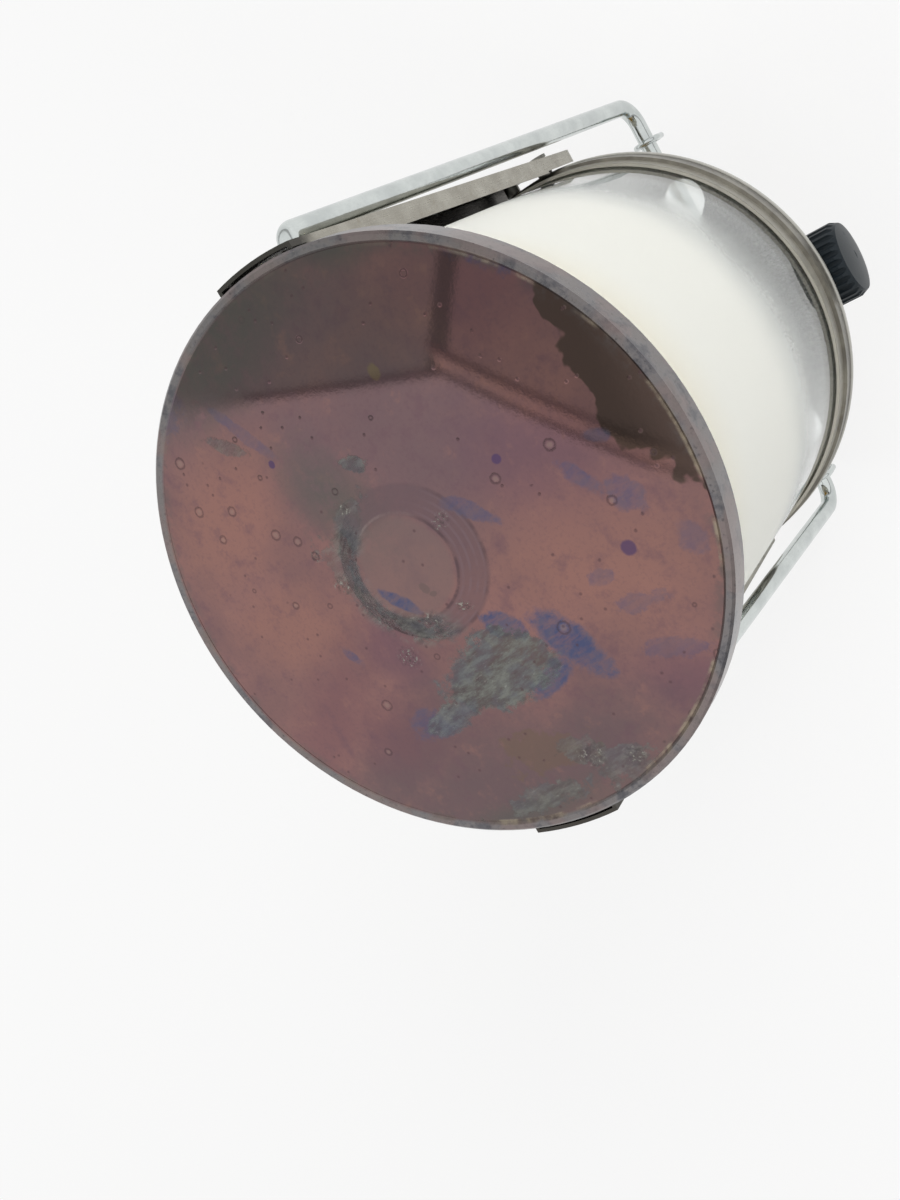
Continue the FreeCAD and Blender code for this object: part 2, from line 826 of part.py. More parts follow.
def make_spindle_seal():
    middle = s.spindle_radius + s.running_clearance + s.seal_wire_radius
    out = boss_end + s.seal_wire_radius + s.running_clearance
    return primitive(
        "Part::Torus", "spindle_ring", at=(ZERO, -out, knob_axis), turn=OUTWARD,
        Radius1=middle, Radius2=s.seal_wire_radius)


# Valve body: upright block, side boss for the spindle, stem up through the tray, spigot down into the collar
def make_valve_body():
    flange_foot = s.base_height - s.valve_flange
    spigot = s.spigot_radius - s.thread_clearance
    corners = [
        (ZERO, s.collar_height - s.spigot_depth),
        (spigot, s.collar_height - s.spigot_depth),
        (spigot, s.collar_height),
        (s.valve_radius, s.collar_height),
        (s.valve_radius, flange_foot - s.valve_flange),
        (s.valve_flange_radius, flange_foot),
        (s.valve_flange_radius, s.base_height),
        (s.stem_radius, s.base_height),
        (s.stem_radius, stem_top),
        (ZERO, stem_top),
    ]
    block = turned("valve_block", corners)
    boss = cylinder("valve_boss", s.boss_radius, s.boss_reach, at=(ZERO, ZERO, knob_axis), turn=OUTWARD)
    thread = cylinder("valve_boss_thread", s.boss_thread_radius, boss_end, at=(ZERO, ZERO, knob_axis), turn=OUTWARD)
    needle_room = s.needle_radius + s.running_clearance * 2
    jet_bottom = tube_bottom - s.jet_length
    bores = [
        cylinder("valve_tube_seat", s.tube_radius + s.thread_clearance, s.tube_seat, at=(ZERO, ZERO, tube_bottom)),
        cylinder("valve_jet_seat", s.jet_radius + s.thread_clearance, s.jet_length, at=(ZERO, ZERO, jet_bottom)),
        cylinder("valve_gas_way", s.gas_hole_radius / 2, jet_bottom - knob_axis, at=(ZERO, ZERO, knob_axis)),
        cylinder(
            "valve_feed", s.gas_hole_radius / 2, knob_axis - s.collar_height + s.spigot_depth,
            at=(ZERO, -s.spindle_start, s.collar_height - s.spigot_depth)),
        cylinder("valve_needle_way", needle_room, boss_end, at=(ZERO, ZERO, knob_axis), turn=OUTWARD),
        cylinder(
            "valve_spindle_way", s.spindle_radius + s.running_clearance, boss_end,
            at=(ZERO, -(s.spindle_start - s.running_clearance * 4), knob_axis), turn=OUTWARD),
    ]
    return cut("valve_bored", join("valve_solid", [block, boss, thread]), bores)


def make_clamp_nut():
    blank = hexagon("clamp_hexagon", s.nut_width, s.nut_height, at=(ZERO, ZERO, reflector_top))
    bore = cylinder("clamp_thread", s.stem_radius + s.thread_clearance, s.nut_height, at=(ZERO, ZERO, reflector_top))
    return cut("clamp_bored", blank, [bore])


# Burner: tube, jet, head, mantle and its tie
def make_burner_tube():
    bore = s.tube_radius - s.tube_wall
    corners = [
        (bore, tube_bottom),
        (s.tube_radius, tube_bottom),
        (s.tube_radius, tube_top),
        (bore, tube_top),
    ]
    length = s.tube_radius * 3
    height = stem_top + s.air_hole_height
    holes = [
        cylinder("air_hole_across", s.air_hole_radius, length, at=(-length / 2, ZERO, height), turn=ALONG_X),
        cylinder("air_hole_along", s.air_hole_radius, length, at=(ZERO, length / 2, height), turn=OUTWARD),
    ]
    return cut("tube_pierced", turned("tube_blank", corners), holes)


def make_jet():
    shoulder = tube_bottom
    top = shoulder + s.jet_tip
    bottom = shoulder - s.jet_length
    corners = [
        (s.jet_bore, bottom),
        (s.jet_radius, bottom),
        (s.jet_radius, shoulder),
        (s.jet_tip_radius, top),
        (s.jet_bore, top),
    ]
    return turned("jet_nozzle", corners)


def make_burner_head():
    socket = s.tube_radius + s.thread_clearance
    groove_top = tube_top - s.head_groove / 2
    groove_foot = groove_top - s.head_groove
    corners = [
        (socket, head_bottom),
        (s.head_radius, head_bottom),
        (s.head_radius, groove_foot),
        (s.head_groove_radius, groove_foot),
        (s.head_groove_radius, groove_top),
        (s.head_radius, groove_top),
        (s.head_radius, head_top),
        (ZERO, head_top),
        (ZERO, tube_top),
        (socket, tube_top),
    ]

    def hole(name, across, along, angle):
        return cylinder(name, s.head_hole_radius, s.head_height, at=(across, along, tube_top))

    holes = set_round("head_hole", hole, int(s.head_hole_count.value), s.head_hole_circle)
    return cut("head_pierced", turned("head_blank", corners), holes), groove_foot, groove_top


def make_mantle(groove_foot, groove_top):
    """A thin sock: hem, neck drawn into the head's groove, bulb and closed top."""
    draw = s.mantle_gap
    slope = s.head_groove / 2 - s.tie_wire_radius
    neck = s.head_groove_radius + s.mantle_gap
    collar = s.head_radius + s.mantle_gap
    top = head_top + s.mantle_height
    hem = groove_foot - s.mantle_hem
    swell = s.mantle_radius - collar
    middle = (groove_foot + groove_top) / 2
    inside = [
        (collar, hem),
        (collar, groove_foot + draw),
        (neck, groove_foot + slope),
        (neck, groove_top - slope),
        (collar, groove_top - draw),
        (collar, head_top),
        (collar + swell * 0.6, head_top + s.mantle_height * 0.16),
        (s.mantle_radius, head_top + s.mantle_height * 0.42),
        (s.mantle_radius * 0.86, head_top + s.mantle_height * 0.70),
        (s.mantle_radius * 0.45, head_top + s.mantle_height * 0.93),
        (ZERO, top),
    ]
    outside = [(across + s.mantle_wall, up) for across, up in inside[:-1]]
    outside.append((ZERO, top + s.mantle_wall))
    return turned("mantle_sock", inside + outside[::-1]), neck, middle


def make_mantle_tie(neck, middle):
    ring = neck + s.mantle_wall + s.running_clearance + s.tie_wire_radius
    return primitive(
        "Part::Torus", "tie_ring", at=(ZERO, ZERO, middle), Radius1=ring, Radius2=s.tie_wire_radius)


# Collar: fluted outside, threaded socket below, room for the seal, seat for the valve's spigot above
def make_collar():
    seal_foot = s.thread_depth + s.running_clearance * 4
    seal_top = seal_foot + s.collar_seal_height + s.running_clearance * 2
    chamfer = s.collar_chamfer
    corners = [
        (s.thread_radius, ZERO),
        (s.collar_radius - chamfer, ZERO),
        (s.collar_radius, chamfer),
        (s.collar_radius, s.collar_height - chamfer),
        (s.collar_radius - chamfer, s.collar_height),
        (s.spigot_radius, s.collar_height),
        (s.spigot_radius, s.collar_height - s.spigot_depth),
        (s.gas_hole_radius, s.collar_height - s.spigot_depth),
        (s.gas_hole_radius, seal_top),
        (s.collar_seal_radius, seal_top),
        (s.collar_seal_radius, s.thread_depth),
        (s.thread_radius, s.thread_depth),
    ]
    blank = turned("collar_blank", corners)
    flute_circle = s.collar_radius + s.collar_flute_radius / 2
    flute_height = s.collar_height - chamfer * 5

    def flute(name, across, along, angle):
        return cylinder(name, s.collar_flute_radius, flute_height, at=(across, along, s.collar_height - flute_height))

    step = 180.0 / s.collar_flute_count.value
    flutes = set_round("collar_flute", flute, int(s.collar_flute_count.value), flute_circle, first=step)
    return cut("collar_fluted", blank, flutes), seal_top


def make_collar_seal(seal_top):
    top = seal_top
    bottom = seal_top - s.collar_seal_height
    outer = s.collar_seal_radius - s.running_clearance
    corners = [
        (s.collar_seal_hole, bottom),
        (outer, bottom),
        (outer, top),
        (s.collar_seal_hole, top),
    ]
    return turned("collar_washer", corners)


def make_pin():
    top = s.collar_height - s.spigot_depth
    return cylinder("collar_pin", s.pin_radius, s.pin_reach, at=(ZERO, ZERO, top - s.pin_reach))


def build():
    sub_part(make_hood(), "hood")
    sub_part(make_globe(), "globe_glass")
    sub_part(make_gasket(), "globe_gasket")
    cutters = slot_cutters()
    sub_part(make_tray(cutters), "base_tray")
    sub_part(make_reflector(cutters), "reflector_plate")
    strut_right = sub_part(make_strut(), "strut_right")
    sub_part(mirrored("strut_mirrored", strut_right), "strut_left")
    sub_part(make_rivets(), "strut_rivets")
    sub_part(make_bail(), "bail")
    make_links()
    sub_part(make_knob(), "knob")
    sub_part(make_spindle(), "valve_spindle")
    sub_part(make_needle(), "valve_needle")
    sub_part(make_gland_nut(), "gland_nut")
    sub_part(make_spindle_seal(), "spindle_seal")
    sub_part(make_valve_body(), "valve_body")
    sub_part(make_clamp_nut(), "clamp_nut")
    sub_part(make_burner_tube(), "burner_tube")
    sub_part(make_jet(), "gas_jet")
    head, groove_foot, groove_top = make_burner_head()
    sub_part(head, "burner_head")
    mantle, neck, middle = make_mantle(groove_foot, groove_top)
    sub_part(mantle, "mantle")
    sub_part(make_mantle_tie(neck, middle), "mantle_tie")
    collar, seal_top = make_collar()
    sub_part(collar, "cartridge_collar")
    sub_part(make_collar_seal(seal_top), "collar_seal")
    sub_part(make_pin(), "depressor_pin")
    doc.recompute()


def check():
    """Stops before anything is written if a feature failed or a piece is empty or not valid."""
    for thing in doc.Objects:
        if {"Invalid", "Error"} & set(thing.State):
            raise RuntimeError(f"{thing.Name} ({thing.Label}) failed: {thing.State}")
    for thing in subparts:
        if thing.Shape.isNull() or not thing.Shape.isValid() or not thing.Shape.Solids:
            raise RuntimeError(f"{thing.Label} has no valid solid")


def write():
    os.makedirs(OUTPUT_FOLDER, exist_ok=True)
    for thing in subparts:
        thing.Shape.exportStep(f"{OUTPUT_FOLDER}/{thing.Label}.step")
        print(f"{thing.Label}: {len(thing.Shape.Solids)} solid(s), {thing.Shape.Volume:.1f} mm3")


build()
check()
write()
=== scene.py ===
"""Looks of a gas camping lantern head: a finish for every solid, and the cloth mantle with its tie.

Metres, +Z up along the lantern's axis. Patterns on the surfaces are laid out in millimetres.
"""
import json
import math

import bmesh
import bpy
from mathutils import Matrix, Vector


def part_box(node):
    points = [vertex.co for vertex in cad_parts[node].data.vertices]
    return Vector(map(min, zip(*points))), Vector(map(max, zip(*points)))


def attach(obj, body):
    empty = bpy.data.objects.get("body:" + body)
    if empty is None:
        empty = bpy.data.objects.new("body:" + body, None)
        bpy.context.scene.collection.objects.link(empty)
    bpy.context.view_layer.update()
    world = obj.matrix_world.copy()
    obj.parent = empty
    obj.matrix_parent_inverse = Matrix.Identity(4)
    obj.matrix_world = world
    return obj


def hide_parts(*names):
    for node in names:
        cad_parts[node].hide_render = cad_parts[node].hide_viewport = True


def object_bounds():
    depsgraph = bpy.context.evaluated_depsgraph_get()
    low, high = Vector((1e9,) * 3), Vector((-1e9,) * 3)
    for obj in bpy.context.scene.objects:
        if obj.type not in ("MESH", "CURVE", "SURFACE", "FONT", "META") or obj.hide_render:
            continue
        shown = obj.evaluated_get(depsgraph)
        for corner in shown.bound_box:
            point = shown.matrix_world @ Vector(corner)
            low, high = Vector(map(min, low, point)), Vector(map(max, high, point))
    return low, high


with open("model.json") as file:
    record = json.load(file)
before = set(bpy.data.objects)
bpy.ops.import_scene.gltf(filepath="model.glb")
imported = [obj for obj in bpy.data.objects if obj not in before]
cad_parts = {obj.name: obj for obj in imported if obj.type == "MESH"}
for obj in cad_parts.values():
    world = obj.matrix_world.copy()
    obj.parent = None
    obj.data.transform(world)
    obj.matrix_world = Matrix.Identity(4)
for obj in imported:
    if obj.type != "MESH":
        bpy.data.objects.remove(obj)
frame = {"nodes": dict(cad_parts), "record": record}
cad_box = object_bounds()
nodes = frame["nodes"]

MM = 0.001

# Camera of the photograph, in the lantern's frame
PHOTO_HEIGHT = 1200
FOCAL_PIXELS = 1305.67
SENSOR_MM = 36.0
NEAREST = 0.01
CAMERA_PLACE = Vector((0.0303, -0.1393, 0.3712))
CAMERA_FORWARD = Vector((-0.1656, 0.5714, -0.8038))
CAMERA_UP = Vector((0.8509, -0.3293, -0.4094))


def make_camera():
    camera = bpy.data.cameras.new("camera")
    camera.lens = FOCAL_PIXELS / PHOTO_HEIGHT * SENSOR_MM
    camera.sensor_width = SENSOR_MM
    camera.clip_start = NEAREST
    holder = bpy.data.objects.new("camera", camera)
    bpy.context.scene.collection.objects.link(holder)
    back = -CAMERA_FORWARD.normalized()
    right = CAMERA_UP.cross(back).normalized()
    up = back.cross(right)
    turn = Matrix((right, up, back)).transposed().to_4x4()
    holder.matrix_world = Matrix.Translation(CAMERA_PLACE) @ turn
    bpy.context.scene.camera = holder


def srgb(red, green, blue):
    """Linear colour of an 8-bit display colour."""
    def linear(part):
        part /= 255.0
        return part / 12.92 if part <= 0.04045 else ((part + 0.055) / 1.055) ** 2.4
    return (linear(red), linear(green), linear(blue), 1.0)


class Shading:
    """A node tree; each method adds nodes and returns the socket that carries their result."""

    def __init__(self, tree):
        self.tree = tree
        tree.nodes.clear()

    def node(self, kind, inputs=None, **settings):
        made = self.tree.nodes.new(kind)
        for key, value in settings.items():
            setattr(made, key, value)
        for key, value in (inputs or {}).items():
            self.feed(made.inputs[key], value)
        return made

    def feed(self, socket, value):
        if isinstance(value, bpy.types.NodeSocket):
            self.tree.links.new(value, socket)
        else:
            socket.default_value = value

    def math(self, operation, first, second=0.0, clamp=False):
        made = self.node("ShaderNodeMath", {0: first, 1: second}, operation=operation, use_clamp=clamp)
        return made.outputs[0]

    def times(self, *factors):
        product = factors[0]
        for factor in factors[1:]:
            product = self.math("MULTIPLY", product, factor)
        return product

    def most(self, *values):
        highest = values[0]
        for value in values[1:]:
            highest = self.math("MAXIMUM", highest, value)
        return highest

    def between(self, value, low, high, start=0.0, end=1.0):
        """Smooth step: start below low, end above high."""
        made = self.node(
            "ShaderNodeMapRange",
            {"Value": value, "From Min": low, "From Max": high, "To Min": start, "To Max": end},
            interpolation_type="SMOOTHSTEP")
        return made.outputs[0]

    def band(self, value, middle, half, soft):
        """One within half of the middle, fading out over soft."""
        away = self.math("ABSOLUTE", self.math("SUBTRACT", value, middle))
        return self.between(away, half, half + soft, 1.0, 0.0)

    def mix(self, factor, first, second):
        """Colour between first and second."""
        made = self.node("ShaderNodeMix", data_type="RGBA", blend_type="MIX", clamp_factor=True)
        for key, value in (("Factor_Float", factor), ("A_Color", first), ("B_Color", second)):
            self.feed(next(s for s in made.inputs if s.identifier == key), value)
        return next(s for s in made.outputs if s.identifier == "Result_Color")

    def blend(self, value, first, second, low=0.0, high=1.0):
        """Number that goes straight from first, at low, to second, at high."""
        made = self.node(
            "ShaderNodeMapRange",
            {"Value": value, "From Min": low, "From Max": high, "To Min": first, "To Max": second},
            interpolation_type="LINEAR")
        return made.outputs[0]


# Scale that takes a vector's third part out of its length
OUT_OF_LENGTH = 1e6


class Finish(Shading):
    """One material, with its place on the lantern in millimetres at hand."""

    def __init__(self, name):
        self.material = bpy.data.materials.new(name)
        self.material.use_nodes = True
        super().__init__(self.material.node_tree)
        source = self.node("ShaderNodeTexCoord").outputs["Object"]
        scaled = self.node("ShaderNodeVectorMath", {0: source}, operation="SCALE")
        scaled.inputs["Scale"].default_value = 1.0 / MM
        self.place = scaled.outputs[0]
        parts = self.node("ShaderNodeSeparateXYZ", {0: self.place})
        self.x, self.y, self.z = parts.outputs
        self.flat = self.node("ShaderNodeCombineXYZ", {0: self.x, 1: self.y}).outputs[0]
        self.radius = self.node("ShaderNodeVectorMath", {0: self.flat}, operation="LENGTH").outputs["Value"]
        self.angle = self.math("ARCTAN2", self.y, self.x)

    def noise(self, size, detail=4.0, roughness=0.55, longer=None, shift=0.0, turn=0.0):
        """Cloudy pattern from 0 to 1: features of this size in millimetres, longer each way by a factor."""
        place = self.place
        if longer or shift:
            mapping = self.node("ShaderNodeMapping", {"Vector": place}, vector_type="TEXTURE")
            mapping.inputs["Scale"].default_value = longer or (1.0, 1.0, 1.0)
            mapping.inputs["Location"].default_value = (shift, shift, shift)
            mapping.inputs["Rotation"].default_value = (0.0, 0.0, math.radians(turn))
            place = mapping.outputs[0]
        made = self.node(
            "ShaderNodeTexNoise",
            {"Vector": place, "Scale": 1.0 / size, "Detail": detail, "Roughness": roughness})
        return made.outputs[0]

    def cells(self, size, dimensions="3D", shift=0.0):
        """Distance to the nearest of scattered points, in cell sizes, and a random number for each point."""
        mapping = self.node("ShaderNodeMapping", {"Vector": self.place})
        mapping.inputs["Location"].default_value = (shift, shift, shift)
        made = self.node(
            "ShaderNodeTexVoronoi", {"Vector": mapping.outputs[0], "Scale": 1.0 / size},
            voronoi_dimensions=dimensions)
        chance = self.node("ShaderNodeSeparateColor", {0: made.outputs["Color"]})
        return made.outputs["Distance"], chance.outputs[0], chance.outputs[1]

    def away(self, middle, size, turn=0.0, after=0.0):
        """Distance from an oval's middle, seen along the axis: one on its edge.

        The value after doesn't count, but is worked out first, so that few results wait at once.
        """
        place = self.node("ShaderNodeCombineXYZ", {0: self.x, 1: self.y, 2: after}).outputs[0]
        mapping = self.node("ShaderNodeMapping", {"Vector": place}, vector_type="TEXTURE")
        mapping.inputs["Location"].default_value = (middle[0], middle[1], 0.0)
        mapping.inputs["Rotation"].default_value = (0.0, 0.0, math.radians(turn))
        mapping.inputs["Scale"].default_value = (size[0] / 2, size[1] / 2, OUT_OF_LENGTH)
        return self.node("ShaderNodeVectorMath", {0: mapping.outputs[0]}, operation="LENGTH").outputs["Value"]

    def patch(self, middle, size, turn, ragged, rag, soft, after=0.0):
        """Oval mark: one inside, zero outside, with an edge that a pattern makes ragged."""
        away = self.away(middle, size, turn, after)
        away = self.math("ADD", away, self.times(self.math("SUBTRACT", ragged, 0.5), rag * 4))
        return self.between(away, 1.0 - soft, 1.0 + soft, 1.0, 0.0)

    def bump(self, height, depth):
        """Relief of this depth in millimetres."""
        made = self.node("ShaderNodeBump", {"Height": height, "Distance": depth * MM, "Strength": 1.0})
        return made.outputs[0]

    def surface(self, **inputs):
        shader = self.node("ShaderNodeBsdfPrincipled")
        for key, value in inputs.items():
            self.feed(shader.inputs[key.replace("_", " ")], value)
        return shader.outputs[0]

    def done(self, shader):
        self.node("ShaderNodeOutputMaterial", {"Surface": shader})
        return self.material


# Hood: heat-tinted steel. Each mark is an oval: x, y, length, width (mm), turn (degrees), raggedness
HAZE = (
    ((113, 94, 98), 0.8, (
        (20, -12, 44, 34, 40, 0.35), (27, 8, 26, 22, 0, 0.35), (46, 12, 60, 26, 100, 0.3))),
    ((108, 82, 94), 0.6, (
        (5, -33, 30, 20, 45, 0.35), (-14, 15, 16, 10, 20, 0.4), (-40, -38, 20, 12, 60, 0.4))),
    ((148, 109, 100), 0.7, (
        (24, 34, 34, 22, 120, 0.35), (-14, -34, 40, 26, 60, 0.35), (-2, 34, 26, 16, 80, 0.4))),
    ((104, 89, 92), 0.85, (
        (-50, 18, 66, 26, 108, 0.3), (-46, -10, 40, 20, 95, 0.35), (-36, 26, 40, 16, 115, 0.4))),
    ((118, 86, 91), 0.6, (
        (-24, 40, 40, 14, 125, 0.4), (-30, 26, 22, 16, 90, 0.4), (40, -34, 30, 20, 50, 0.4))),
)
BLUE_MARKS = (
    (0.95, (
        (-25, -20.5, 17, 7, 27, 0.35), (-30, -13.5, 11, 5, 110, 0.45), (-17.5, -10.5, 9, 5, 50, 0.5),
        (-5.2, 5.4, 9, 2.6, 40, 0.35))),
    (0.6, (
        (-31, 13.5, 15, 5, 101, 0.5), (-29, 17, 8, 4, 100, 0.6), (1, -38, 9, 3, 30, 0.6),
        (-5, -44, 8, 5, 30, 0.6), (6, -44, 4, 2.5, 60, 0.5), (4, -16.5, 11, 3, 45, 0.6),
        (-12, 24, 5, 2.4, 30, 0.6), (41, -42, 14, 6, 50, 0.6))),
    (0.4, (
        (-23, -36, 10, 3.5, 80, 0.9), (-33, -38, 11, 4, 75, 0.8), (-16, -50, 6, 5, 0, 0.6),
        (46, 37, 13, 8, 100, 0.6), (-16, -32, 6, 3, 70, 0.8), (36, 20, 18, 2.4, 31, 0.6))),
)
GREY_MARKS = (
    (0.95, ((-25.5, -3.5, 25, 14, 92, 0.35), (-22.5, -9, 16, 9, 60, 0.45))),
    (0.75, ((-30.5, 11, 15, 5.5, 101, 0.5), (21, 0.3, 6, 3, 55, 0.6))),
    (0.55, ((-51, -17, 14, 7, 110, 0.9), (-53, 2, 22, 6, 95, 0.9), (-47, -12, 9, 5, 60, 1.0))),
    (0.45, (
        (12, 8, 12, 6, 120, 0.9), (3.5, 14, 15, 6, 20, 0.8), (35, 25, 9, 2.6, 50, 0.8),
        (-44, -10, 8, 4, 90, 0.9))),
)
SOOT_MARKS = (
    (52, 17, 52, 16, 101, 0.6), (49, 18, 34, 14, 101, 0.9), (55, -18, 16, 8, 70, 0.7),
    (-55, 8, 40, 8, 96, 0.6), (16, 8, 24, 14, 30, 0.8),
)
STAINS = (
    ((112, 94, 82), 0.6, ((-43, -3, 19, 8, 80, 1.0),)),
    ((132, 112, 88), 0.7, (
        (33, -13, 3.0, 2.2, 0, 0.4), (53, -28, 4, 2.5, 60, 0.5), (-43, -44, 2, 2, 0, 0.2))),
    ((82, 66, 98), 0.8, (
        (-13.5, -39.4, 2.8, 2.6, 0, 0.15), (10, -26, 1.8, 1.8, 0, 0.15), (28, 17, 1.6, 1.4, 0, 0.2))),
    ((84, 75, 72), 0.7, ((-4.8, -1.0, 2.6, 1.8, 30, 0.6), (-6.4, -2.2, 1.6, 1.0, 80, 0.5))),
)
# Dark ragged patch beside the edge, as an oval without its raggedness
DARK_EDGE_PATCH = (12.5, -53.5, 43, 14.5, 13)
# Crusts and rings: x, y and size (mm)
CRUSTS = (
    (1.7, 16.8, 3.4), (-3.6, 13.5, 3.0), (-7.7, 11.7, 3.4), (-16.0, 12.2, 4.2), (-10.7, 1.2, 3.4),
    (-11.1, -6.1, 2.4), (14.5, 7.5, 2.4), (5.0, -11.0, 2.6), (-47, -12, 5.0), (-50, -20, 4.0), (9, 19, 2.0),
)
RINGS = (
    (8, -36, 1.0), (37, 38, 1.1), (27, 40, 1.0), (24, 32, 0.9), (16, 25, 1.0), (13, 21, 0.9), (9, 19, 0.8),
    (-23.6, 23.4, 1.1), (-22.1, -20.9, 1.2), (-5, -41, 0.8), (-37, -44, 0.9), (-47, -37, 1.0),
    (-46, -34, 0.8), (7, -24, 0.9), (-33, 30, 0.8), (2, 30, 0.7), (20, 38, 0.8),
)
# Radii of the boss and the edge (mm), the boss's spun lines (radians to a millimetre), two directions
BOSS_TOP = 10.4
BOSS_FOOT = 15.3
BOSS_MIDDLE = (BOSS_TOP + BOSS_FOOT) / 2
SPUN_LINES = 5.2
EDGE_RADIUS = 57.2
WORN_RADII = (54.4, 57.0)
# RIGHT_WAY: side of the boss given painted shade lines, the other side a painted highlight; also where crust
# gathers in the edge's gutter
RIGHT_WAY = (-0.55, -0.83)
SCUFFED_WAY = (-0.31, 0.95)


def facing(f, way):
    """How far a place lies towards a direction from the axis: one on that side, minus one on the other."""
    along = f.math("ADD", f.times(f.x, way[0]), f.times(f.y, way[1]))
    return f.math("DIVIDE", along, f.math("MAXIMUM", f.radius, 1.0))


def boss_marks_and_painted_light(f, tint, ragged, mottle):
    """The raised middle: a duller disc, a sloping ring darkened as a painted reflection, spun lines, painted
    shade lines and a painted highlight along its edges, and scuffs round one half.
    """
    uneven = f.blend(f.between(mottle, 0.40, 0.60), 0.1, 1.0)
    wander = f.math("ADD", f.radius, f.times(f.math("SUBTRACT", mottle, 0.5), 1.2))
    right = f.between(facing(f, RIGHT_WAY), -0.3, 0.6)
    disc = f.between(wander, BOSS_TOP, BOSS_TOP - 1.6)
    tint = f.mix(f.times(disc, 0.6), tint, srgb(122, 103, 101))
    slope = f.band(wander, BOSS_MIDDLE, (BOSS_FOOT - BOSS_TOP) / 2 - 0.4, 1.0)
    # Painted reflection: the whole sloping ring is darkened as if it mirrored a darker room.
    tint = f.mix(f.times(slope, 0.55), tint, srgb(103, 86, 91))
    spun = f.between(f.math("SINE", f.times(f.radius, SPUN_LINES)), 0.0, 0.9)
    tint = f.mix(f.times(slope, spun, uneven, f.blend(right, 0.03, 0.26)), tint, srgb(128, 110, 116))
    # Painted shade: dark lines along the ring's edges, on the side away from the light.
    lines = f.most(
        f.band(f.radius, BOSS_TOP, 0.1, 0.35), f.times(f.band(f.radius, BOSS_FOOT, 0.1, 0.5), 0.8))
    tint = f.mix(f.times(lines, right, uneven, 0.6), tint, srgb(80, 66, 70))
    # Painted highlight: a light line along the disc's edge, on the side towards the light.
    light = f.times(f.band(f.radius, BOSS_TOP + 0.2, 0.1, 0.3), f.between(right, 0.6, 0.2), uneven)
    tint = f.mix(f.times(light, 0.45), tint, srgb(146, 130, 126))
    torn = f.between(ragged, 0.40, 0.55)
    ring = f.times(
        f.band(wander, BOSS_FOOT - 2.2, 1.8, 3.0), f.between(facing(f, SCUFFED_WAY), -0.1, 0.5), torn)
    return tint, f.times(ring, 0.85)


